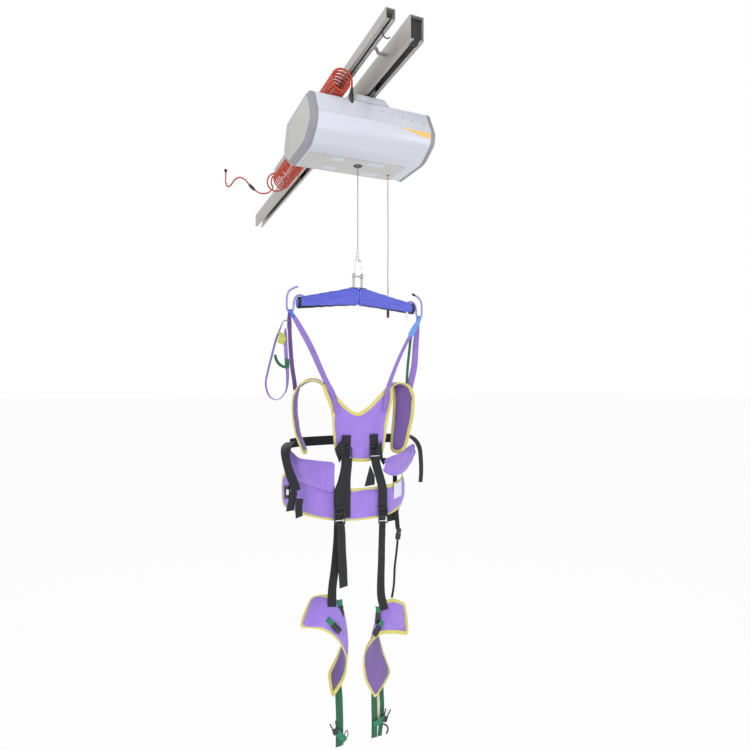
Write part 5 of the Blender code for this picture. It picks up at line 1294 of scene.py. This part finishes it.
def riserStraps():
    # Each side's webbing climbs from the vest, wraps over the hook in a half circle and runs down behind
    angle = np.linspace(0, math.pi, 9)
    for side, word, rearShade, eyeShade in ((-1, "left", plumWebbing, midBlueWebbing),
                                            (1, "right", lilacWebbing, skyWebbing)):
        made = risers[word]
        wrap = np.column_stack([np.full(9, side * cradle["x"]), -wrapRadius * np.cos(angle),
                                cradle["z"] + wrapRadius * np.sin(angle), np.full(9, 0.0046)])
        strap(f"riser_front_{word}", np.vstack([made["front"], wrap[:5]]), lilacWebbing, "harness",
              (f"riser_{word}",), step=0.004)
        strap(f"riser_rear_{word}", np.vstack([wrap[4:], made["rear"]]), rearShade, "harness", step=0.004)
        # The sewn eye that hugs the hook, in its own colour, and the cross stitches that close it
        height = cradle["z"] + (wrap[:, 2] - cradle["z"]) * 1.22
        wide = np.column_stack([wrap[:, 0], wrap[:, 1] * 1.22, height, np.full(9, 0.0066)])
        strap(f"riser_eye_{word}", np.vstack([made["eyeFront"], wide, made["eyeRear"]]), eyeShade, "harness",
              step=0.003, thick=0.0020)
        for index, spot in enumerate(made["stitches"]):
            line = np.array(spot) + np.array([(-0.006, 0, 0), (0, 0, 0), (0.006, 0, 0)])
            stitches(f"eye_stitch_{word}_{index}", line, (0, -1, 0), creamWebbing, "harness", pitch=0.0030)
    # A dark green strip runs down beside the wide right strap; a pale tab hangs under the right sleeve
    strip = [(0.2350, -0.0106, -0.972), (0.2300, -0.006, -1.030), (0.2230, -0.004, -1.100),
             (0.2180, -0.003, -1.176)]
    strap("green_strip_right", withHalf(strip, 0.006), greenWebbing, "harness", thick=0.0020)
    tab = [(0.2165, -0.008, -0.872), (0.2165, -0.0105, -0.890), (0.2165, -0.0110, -0.913)]
    strap("sleeve_tab", withHalf(tab, 0.0048), labelCloth, "spreader", thick=0.0016)
    # Stitched bands where both front risers are sewn on the vest's shoulders
    for word in ("left", "right"):
        front = np.array(risers[word]["front"])[:3, :3]
        for index, edge in enumerate((-seamOut, seamOut)):
            stitches(f"riser_seam_{word}_{index}", front + (edge, -0.0013, 0), (0, -1, 0), plumWebbing,
                     "harness")
        for index, z in enumerate((-1.272, -1.262, -1.228, -1.218)):
            x = np.interp(-z, -front[:, 2], front[:, 0])
            line = np.linspace((x - seamOut, -0.0208, z), (x + seamOut, -0.0208, z), 3)
            stitches(f"riser_bar_{word}_{index}", line, (0, -1, 0), plumWebbing, "harness")


loopRoute = [(-0.2837, 0.008, -0.930), (-0.302, 0.000, -0.933), (-0.319, -0.008, -0.964),
             (-0.335, -0.010, -1.004), (-0.350, -0.010, -1.060), (-0.366, -0.010, -1.123),
             (-0.374, -0.010, -1.175), (-0.358, -0.010, -1.219), (-0.329, -0.010, -1.230),
             (-0.300, -0.010, -1.203), (-0.291, -0.010, -1.149), (-0.296, -0.010, -1.074),
             (-0.299, -0.010, -1.000), (-0.298, -0.008, -0.962)]


def slackLoop():
    # The webbing stands on edge, and twists to show its face on the inner run
    face = np.interp(np.arange(len(loopRoute)), (0, 3, 8, 9, 11, 12, 13), (0.0, 0.7, 0.5, 0.5, 1.8, 1.8, 0.4))
    twisted = np.column_stack([loopRoute, np.full(len(loopRoute), 0.009), face, np.ones(len(loopRoute)),
                               0 * face])
    strap("slack_loop", twisted, lilacWebbing, "harness", ("loop_strap",), thick=0.0024, step=0.005)
    # A crumpled yellow-green tag, a green webbing tab and a curved green strip hang on the loop
    u = np.linspace(-1, 1, 15)[:, None]
    v = np.linspace(-1, 1, 11)[None, :]
    x = -0.3165 + 0.0125 * u + 0.003 * np.sin(3.0 * v + 1.2)
    z = -1.000 + 0.022 * v - 0.005 * u
    y = -0.0195 + 0.003 * np.sin(4.2 * u + 2.6 * v) + 0.002 * np.sin(7.0 * v - 2.0 * u)
    front = np.stack([x, y, z], -1)
    back = (front + (0, 0.0016, 0))[:, ::-1]
    tag = piece("crumpled_tag", skin(np.concatenate([front, back], axis=1)), tagCloth, "harness", (), 60)
    tab = [(-0.297, -0.0215, -1.078), (-0.296, -0.0225, -1.094), (-0.297, -0.0220, -1.112)]
    strap("green_tab", withHalf(tab, 0.009), greenWebbing, "harness", thick=0.0030)
    strip = [(-0.340, -0.014, -1.062, 0.0050), (-0.336, -0.016, -1.080, 0.0056),
             (-0.328, -0.018, -1.094, 0.0058), (-0.316, -0.020, -1.104, 0.0056),
             (-0.300, -0.021, -1.109, 0.0050)]
    strap("green_strip", strip, greenWebbing, "harness", thick=0.0022, side=(0.5, 0, 0.85))


upperBody()
riserStraps()
slackLoop()
print("vest, wings and risers made")


# Belt, hip pads and waist strap

hips = {"front": -0.045, "depth": 0.190, "half": 0.270, "power": 3.5}
belt = {"top": -1.582, "bottom": -1.704, "riseTop": 0.018, "riseBottom": 0.036, "ends": (-0.270, 0.262),
        "leftClimb": 0.034}


def hipY(x):
    # How far back the hips' curve lies: flat in front, then back with a high power of the distance across
    return hips["front"] + hips["depth"] * np.abs(x / hips["half"]) ** hips["power"]


def beltTop(x):
    # A shallow arc that climbs to the left under the hip pad
    climb = belt["leftClimb"] * np.clip((-x - 0.120) / 0.130, 0, 1)
    return belt["top"] + belt["riseTop"] * (x / hips["half"]) ** 2 + climb


def beltBottom(x):
    # A deeper arc than the top's
    return belt["bottom"] + belt["riseBottom"] * (x / hips["half"]) ** 2


def hipEdge(x, z, out=0.0):
    # Points on the curve round the hips, or so far outside it
    way = unit(np.column_stack([np.gradient(hipY(x), x), -np.ones(len(x)), 0 * x]))
    return np.column_stack([x, hipY(x), z]) + way * out


def hipPanels():
    # The belt follows the curve round the hips
    x = np.linspace(*belt["ends"], 25)
    paddedPanel("pelvic_belt_pad", hipEdge(x, beltTop(x)), hipEdge(x, beltBottom(x)), "harness",
                ("pelvic_belt",), 0.0090, -0.003, 84, 0.030, (0.0011, 5.0, 0.3), lining=1)
    # The left pillow laps over the belt's upper edge; the right one is a wrinkled crescent
    x = np.linspace(-0.252, -0.108, 11)
    top = -1.472 + 0.008 * np.clip((-0.108 - x) / 0.09, 0, 1)
    top = top + 0.036 * np.clip((-0.218 - x) / 0.034, 0, 1) ** 1.5
    paddedPanel("hip_pad_left_pad", hipEdge(x, top, 0.004), hipEdge(x, beltTop(x) - 0.013, 0.0085), "harness",
                ("hip_pad_left",), 0.0120, -0.0080, 44, 0.018, (0.0022, 1.5, 1.4), bound=False,
                lining=1, cap=0.005)
    topEdge = [(0.094, -0.047, -1.474), (0.130, -0.040, -1.463), (0.180, -0.010, -1.457),
               (0.224, 0.022, -1.446), (0.260, 0.044, -1.434), (0.290, 0.058, -1.430)]
    lowEdge = [(0.084, -0.048, -1.520), (0.124, -0.044, -1.541), (0.172, -0.018, -1.547),
               (0.220, 0.018, -1.541), (0.259, 0.046, -1.516), (0.288, 0.064, -1.478)]
    paddedPanel("hip_pad_right_pad", topEdge, lowEdge, "harness", ("hip_pad_right",), 0.0110, -0.0060, 46,
                0.012, (0.0034, 2.5, 2.2), bound=False, lining=1, cap=0.005)


def waistStraps():
    # The waist band round the back, its hanging tail, and the wide strap down the left side to the belt
    waist = [(-0.250, hipY(-0.250), -1.4107), (-0.236, 0.106, -1.409), (-0.200, 0.117, -1.408),
             (-0.100, 0.124, -1.407), (0, 0.125, -1.407), (0.100, 0.124, -1.408), (0.200, 0.117, -1.409),
             (0.245, 0.105, -1.411), (0.262, hipY(0.258) + 0.006, -1.410)]
    strap("waist_band", withHalf(waist, 0.019), blackWebbing, "harness", ("waist_strap",), side=(0, 0, 1.0),
          step=0.008)
    tail = [(0.252, 0.118, -1.400), (0.272, 0.094, -1.398), (0.290, 0.060, -1.414), (0.300, 0.036, -1.446),
            (0.303, 0.028, -1.500), (0.302, 0.024, -1.550), (0.299, 0.024, -1.592)]
    strap("waist_tail", withHalf(tail, 0.014), blackWebbing, "harness", side=(0.9, 0.4, 0.2))
    leftSide = [(-0.252, 0.094, -1.404, 0.019), (-0.268, 0.060, -1.406, 0.019),
                (-0.290, 0.014, -1.416, 0.019), (-0.302, -0.022, -1.442, 0.020),
                (-0.295, -0.040, -1.490, 0.0215), (-0.278, -0.048, -1.540, 0.0235),
                (-0.268, -0.049, -1.572, 0.0235)]
    strap("side_strap_left", leftSide, blackWebbing, "harness", side=(0.88, 0.46, 0.1))
    buckle("side_buckle_left", (-0.304, -0.052, -1.570), (0.12, 0, -1.0), (0.92, 0.3, 0), 0.0115, 0.024,
           "harness")
    plate = slab(rounded(0.0052, 0.010, 0.0015, 4), (-0.304, -0.0572, -1.570), (0.92, 0.3, 0),
                 (0.12, 0, -1.0), 0.0020, 0.0006)
    piece("side_buckle_left_plate", plate, whitePlastic, "harness")
    for index, (x, y, z, lean, half) in enumerate(((-0.287, -0.050, -1.630, -0.004, 0.0175),
                                                   (-0.261, -0.046, -1.658, 0.004, 0.0160))):
        ends = [(x + 0.008, y, z + 0.058), (x + 0.003, y - 0.001, z + 0.03), (x + lean, y, z),
                (x + lean * 1.3, y + 0.002, z - 0.012)]
        strap(f"side_tail_left_{index}", withHalf(ends, half), blackWebbing, "harness", side=(0.92, 0.3, 0))


def blankLabel():
    # A label with nothing on it, sewn on the belt's right part: a sheet at an even distance in front of it
    x = np.linspace(0.140, 0.190, 9)
    share = np.linspace(0, 1, 6)[None, :, None]
    upper = hipEdge(x, beltTop(x) - 0.001)[:, None]
    lower = hipEdge(x, beltTop(x) - 0.060)[:, None]
    surface = upper * (1 - share) + lower * share
    square = unit(np.cross(np.gradient(surface, axis=0), np.gradient(surface, axis=1)))
    square = square * np.sign(-square[..., 1:2])
    face = surface + square * 0.0112
    behind = surface + square * 0.0092
    label = piece("blank_label", skin(np.concatenate([face, behind[:, ::-1]], axis=1)), labelCloth, "harness",
                  crease=60)


hipPanels()
waistStraps()
blankLabel()
print("belt and hip pads made")


# Leg webbing, cuffs and lower straps

legX = {"left": (-0.055, -0.104), "right": (0.062, 0.082)}
cuffs = {
    "left": ([(-0.246, -0.020, -2.094), (-0.172, -0.046, -2.104), (-0.111, -0.055, -2.147),
              (-0.068, -0.050, -2.235), (-0.069, -0.030, -2.318), (-0.107, 0.000, -2.404)],
             [(-0.184, 0.030, -2.007), (-0.125, 0.006, -2.000), (-0.070, 0.010, -2.045),
              (-0.040, 0.035, -2.143), (-0.052, 0.060, -2.245), (-0.106, 0.055, -2.335)]),
    "right": ([(0.211, -0.030, -2.202), (0.119, -0.050, -2.170), (0.060, -0.062, -2.165),
               (0.010, -0.050, -2.225), (0.018, -0.030, -2.335), (0.076, 0.000, -2.446)],
              [(0.227, 0.030, -2.097), (0.145, 0.004, -2.058), (0.096, 0.006, -2.082),
               (0.098, 0.036, -2.160), (0.132, 0.052, -2.280), (0.172, 0.052, -2.388)])}
# Green webbing's place, the buckle's place, its half width and half length
cuffClasps = {"left": [((-0.078, -0.006, -2.034), (-0.077, -0.010, -2.066), 0.0125, 0.0215),
                       ((-0.136, -0.046, -2.080), (-0.112, -0.056, -2.106), 0.0115, 0.0205)],
              "right": [((0.080, -0.018, -2.082), (0.074, -0.032, -2.110), 0.0110, 0.0200),
                        ((0.078, -0.052, -2.122), (0.056, -0.060, -2.144), 0.0115, 0.0205)]}
lowerLeg = {"left": [(-0.103, -0.042, -1.800, 0.0185), (-0.107, -0.022, -1.900, 0.0180),
                     (-0.110, -0.005, -1.975, 0.0180), (-0.114, -0.013, -2.007, 0.0180),
                     (-0.118, -0.022, -2.036, 0.0180)],
            "right": [(0.086, -0.042, -1.830, 0.0150), (0.092, -0.022, -1.950, 0.0165),
                      (0.100, -0.006, -2.030, 0.0180), (0.105, -0.008, -2.058, 0.0185),
                      (0.109, -0.020, -2.086, 0.0185)]}
# Level, place (across, back, height), half width, half height and where the pale bar, a painted highlight,
# lies
sliders = {"left": [("upper", (-0.058, -0.0285, -1.446), 0.0205, 0.024, -0.016),
                    ("lower", (-0.103, -0.070, -1.674), 0.0205, 0.032, -0.017)],
           "right": [("upper", (0.062, -0.0285, -1.446), 0.0205, 0.024, -0.014),
                     ("lower", (0.079, -0.070, -1.690), 0.0185, 0.030, -0.020)]}
# Corners (across, height) of the folded ends of webbing that stick out as triangles
foldedEnds = {"left": [(-0.110, -1.424), (-0.078, -1.384), (-0.064, -1.434), (-0.086, -1.481)],
              "right": [(0.060, -1.440), (0.087, -1.402), (0.099, -1.470), (0.130, -1.476), (0.103, -1.500)]}


def gusset(name, corners, y, lean, tilt):
    # A flat folded piece of webbing with the given corners (across, height), leaning back across and upwards
    corners = np.array(corners)
    middle = corners.mean(axis=0)
    patch = slab(corners - middle, (middle[0], y, middle[1]), (1.0, lean, 0), (0, tilt, 1.0), 0.0036, 0.0008)
    piece(name, patch, blackWebbing, "harness")


def frontStrap(word):
    # The long strap from the vest over the belt to the leg, its sewn and its doubled end, and its sliders
    xTop, xBelt = legX[word]
    across = xBelt - xTop
    y = vest["strapY"]
    side = -1 if word == "left" else 1
    route = [(xTop, y, -1.374), (xTop + 0.04 * across, y, -1.405), (xTop + 0.1 * across, y - 0.002, -1.440),
             (xTop + 0.2 * across, y - 0.014, -1.492), (xTop + 0.6 * across, -0.052, -1.545),
             (xBelt, -0.0595, -1.590), (xBelt, -0.0600, -1.650), (xBelt, -0.0585, -1.6995)]
    strap(f"thigh_strap_{word}", withHalf(route, 0.019), blackWebbing, "harness", (f"front_strap_{word}",))
    # The sewn end with its cross stitches, and the doubled layer down to the slider
    for index, z in enumerate((-1.380, -1.392)):
        line = np.linspace((xTop - 0.014, y - 0.0014, z), (xTop + 0.014, y - 0.0014, z), 3)
        stitches(f"thigh_stitch_{word}_{index}", line, (0, -1, 0), plumWebbing, "harness")
    loose = [(xTop + 0.004 * side, y - 0.0032, -1.418), (xTop + 0.1 * across, y - 0.0055, -1.440),
             (xTop + 0.2 * across, y - 0.018, -1.492), (xTop + 0.55 * across, -0.0560, -1.545),
             (xBelt - 0.001, -0.0640, -1.590), (xBelt - 0.001, -0.0645, -1.640),
             (xBelt - 0.001, -0.0630, -1.6850)]
    strap(f"thigh_strap_return_{word}", withHalf(loose, 0.0165), blackWebbing, "harness")
    for level, at, wide, tall, pale in sliders[word]:
        slider(f"{level}_slider_{word}", at, wide, tall, (pale + tall * 0.7, tall * 0.35), pale)
    gusset(f"folded_end_{word}", foldedEnds[word], y - 0.0085, 0.10, -0.12)


def legPieces(word, side, wide):
    # A leg's webbing, its cuff, and what is sewn on the cuff
    body = f"{word}_leg"
    xBelt = legX[word][1]
    route = [(xBelt, -0.0570, -1.7008, wide), (xBelt, -0.0560, -1.722, wide)] + lowerLeg[word]
    strap(f"leg_webbing_{word}", route, blackWebbing, body, (f"leg_strap_{word}",), wave=0.0008)
    paddedPanel(f"cuff_pad_{word}", *cuffs[word], body, (f"cuff_{word}",), 0.0075, 0.006, 54, 0.011,
                (0.0011, 2.5, 0.8), lining=side, cap=0.003)
    # Small connecting pieces hang on the cuff's inner edge: a green webbing end in a dark buckle
    for index, (green, clasp, wide, long) in enumerate(cuffClasps[word]):
        green = np.array(green)
        clasp = np.array(clasp)
        way = unit(clasp - green)
        across = np.cross(way, (0, 1.0, 0))
        loop = [green - way * 0.008 + (0, 0.010, 0), green - way * 0.010, green, clasp - way * long * 0.8]
        strap(f"cuff_loop_{word}_{index}", withHalf(loop, wide * 0.86), leafWebbing, body, side=tuple(across),
              step=0.002, thick=0.0026)
        buckle(f"cuff_buckle_{word}_{index}", clasp, -way, across, wide, long, body)


# The loose webbing on each leg: name, webbing, points with half widths, and how it lies
legTrims = {
    "left": [
        ("leg_tail_left", blackWebbing,
         [(-0.098, -0.0645, -1.7015, 0.018), (-0.095, -0.0625, -1.750, 0.019),
          (-0.089, -0.058, -1.830, 0.019), (-0.084, -0.053, -1.900, 0.019),
          (-0.0795, -0.050, -1.956, 0.0185)],
         {"side": (1.0, 0.16, 0), "wave": 0.0016}),
        ("lower_strap_left", greenWebbing,
         [(-0.078, 0.034, -2.330, 0.011), (-0.076, 0.022, -2.400, 0.0125), (-0.074, 0.017, -2.480, 0.013),
          (-0.075, 0.015, -2.560, 0.013), (-0.076, 0.015, -2.6125, 0.013)],
         {"stands": ("green_strap_left",), "wave": 0.0012}),
        ("lower_strap_left_second", leafWebbing,
         [(-0.070, 0.036, -2.332, 0.007), (-0.063, 0.026, -2.420, 0.008), (-0.062, 0.022, -2.500, 0.008),
          (-0.062, 0.020, -2.580, 0.008), (-0.062, 0.018, -2.612, 0.008)],
         {"wave": 0.0012}),
        ("lower_cross_left", leafWebbing,
         [(-0.100, 0.003, -2.535, 0.011), (-0.082, 0.001, -2.552, 0.012), (-0.062, 0.003, -2.574, 0.012),
          (-0.050, 0.008, -2.592, 0.010)],
         {"side": (0.6, 0, 0.8)}),
    ],
    "right": [
        ("lower_strap_right", greenWebbing,
         [(0.090, 0.036, -2.360, 0.011), (0.083, 0.024, -2.420, 0.0125), (0.078, 0.012, -2.480, 0.013),
          (0.077, 0.009, -2.550, 0.013), (0.077, 0.010, -2.6125, 0.013)],
         {"stands": ("green_strap_right",), "wave": 0.0012}),
        ("cream_strip_right", creamWebbing,
         [(0.108, 0.046, -2.390, 0.006), (0.102, 0.030, -2.440, 0.0065), (0.099, 0.018, -2.500, 0.0065),
          (0.098, 0.012, -2.556, 0.0065)],
         {"slot": "green_webbing", "wave": 0.0008}),
        ("lower_strap_right_second", greenWebbing,
         [(0.130, 0.052, -2.380, 0.009), (0.121, 0.036, -2.440, 0.010), (0.118, 0.022, -2.500, 0.010),
          (0.110, 0.014, -2.550, 0.010), (0.103, 0.010, -2.590, 0.010), (0.101, 0.010, -2.612, 0.010)],
         {"wave": 0.0012}),
        ("lower_cross_right", leafWebbing,
         [(0.068, 0.000, -2.552, 0.011), (0.090, -0.003, -2.546, 0.012), (0.122, 0.000, -2.536, 0.011)],
         {"side": (0.2, 0, 1.0)}),
    ],
}
# The clasp's place and the way that its prongs point
clasps = {"left": ((-0.094, 0.003, -2.540), (-0.30, 0, 1.0)),
          "right": ((0.120, 0.001, -2.542), (0.42, 0, 1.0))}


def legTrim(word):
    # The loose webbing and the open clasp of one leg
    for name, shade, points, more in legTrims[word]:
        strap(name, points, shade, f"{word}_leg", **more)
    prongClasp(word, *clasps[word])


def ringAndHook():
    # A slanting ring at the foot of the left leg's straps, and a hook's open end at the right leg's
    angle = np.arange(24) * turn / 24
    middle = np.array((-0.046, 0.008, -2.566))
    path = middle + np.column_stack([0.0085 * np.cos(angle), 0.004 * np.cos(angle), 0.013 * np.sin(angle)])
    ring = skin(carried(path, middle - path, circle(0.0019, 10), closed=True), loopU=True)
    piece("ring_left", ring, blackPlastic, "left_leg")
    arc = [(0.118, 0.006, -2.566), (0.130, 0.004, -2.574), (0.136, 0.004, -2.590), (0.130, 0.006, -2.606)]
    piece("hook_end_right", rod(routed(arc, 0.002), 0.0034, 12), blackPlastic, "right_leg")


def prongClasp(word, at, way):
    # The open half of a buckle: a small block and three prongs that fan out of it, the middle one pale
    body = f"{word}_leg"
    at = np.array(at)
    up = unit(np.array(way))
    across = np.cross((0, 1.0, 0), up)
    block = slab(rounded(0.0115, 0.012, 0.003, 5), at, across, up, 0.008, 0.002)
    piece(f"prong_block_{word}", block, blackPlastic, body)
    for index, shift in enumerate((-1, 0, 1)):
        prong = [at + up * 0.008 + across * 0.007 * shift, at + up * 0.022 + across * 0.0095 * shift,
                 at + up * 0.038 + across * 0.0120 * shift]
        shade = blackPlastic if shift else whitePlastic
        piece(f"prong_{word}_{index}", rod(routed(prong, 0.003), 0.0026, 10), shade, body)


def hangingStraps():
    # The buckled strap behind the right leg, two webbing gussets, and the loose end beside the left strap
    line = [(0.196, 0.062, -1.560), (0.196, 0.056, -1.640), (0.198, 0.052, -1.714), (0.204, 0.050, -1.786)]
    strap("rear_strap_right", withHalf(line, 0.0105), blackWebbing, "harness")
    buckle("rear_buckle_right", (0.206, 0.049, -1.808), (0.15, 0, 1.0), (1.0, 0, -0.15), 0.0110, 0.0230,
           "harness")
    tail = [(0.204, 0.050, -1.826), (0.198, 0.050, -1.880), (0.190, 0.050, -1.950), (0.184, 0.050, -2.030),
            (0.176, 0.050, -2.074)]
    strap("rear_tail_right", withHalf(tail, 0.0050), blackWebbing, "harness", wave=0.0014)
    # Three-cornered webbing gussets: behind the belt's right part, and beside the right front strap
    gusset("rear_gusset_right", [(0.150, -1.700), (0.152, -1.752), (0.200, -1.752), (0.224, -1.700),
                                 (0.218, -1.632)], 0.060, 0.3, 0)
    gusset("inner_gusset_right", [(0.006, -1.574), (0.050, -1.570), (0.052, -1.535), (0.034, -1.493)], -0.050,
           0, 0.12)
    hanging = [(-0.058, -0.036, -1.458, 0.019), (-0.068, -0.052, -1.490, 0.0215),
               (-0.075, -0.0568, -1.530, 0.0225), (-0.076, -0.0566, -1.600, 0.0225),
               (-0.076, -0.0560, -1.6880, 0.0225)]
    strap("hanging_end_left", hanging, blackWebbing, "harness")


for word, side, wide in (("left", -1, 0.0185), ("right", 1, 0.0145)):
    frontStrap(word)
    legPieces(word, side, wide)
    legTrim(word)
ringAndHook()
hangingStraps()
print("leg webbing and cuffs made")
swellPads()
print("pads swollen")


# Finishes of the solids that stay

stayingFinishes = (
    (aluminium, ("rail_bracket_near", "rail_bracket_far")),
    (steel, ("rope_drum", "fork_pin")),
    (darkSteel, ("trolley_frame", "chassis", "gear_motor", "spreader_bar")),
    (blackPlastic, ("near_end_stop", "far_end_stop", "cable_hook", "cable_glider_near", "cable_glider_far",
                    "wheel_set_front", "wheel_set_rear", "control_box", "pull_switch")),
)
for shade, names in stayingFinishes:
    for name in names:
        for slot in bpy.data.objects[name].material_slots:
            slot.material = shade
print("solids finished")
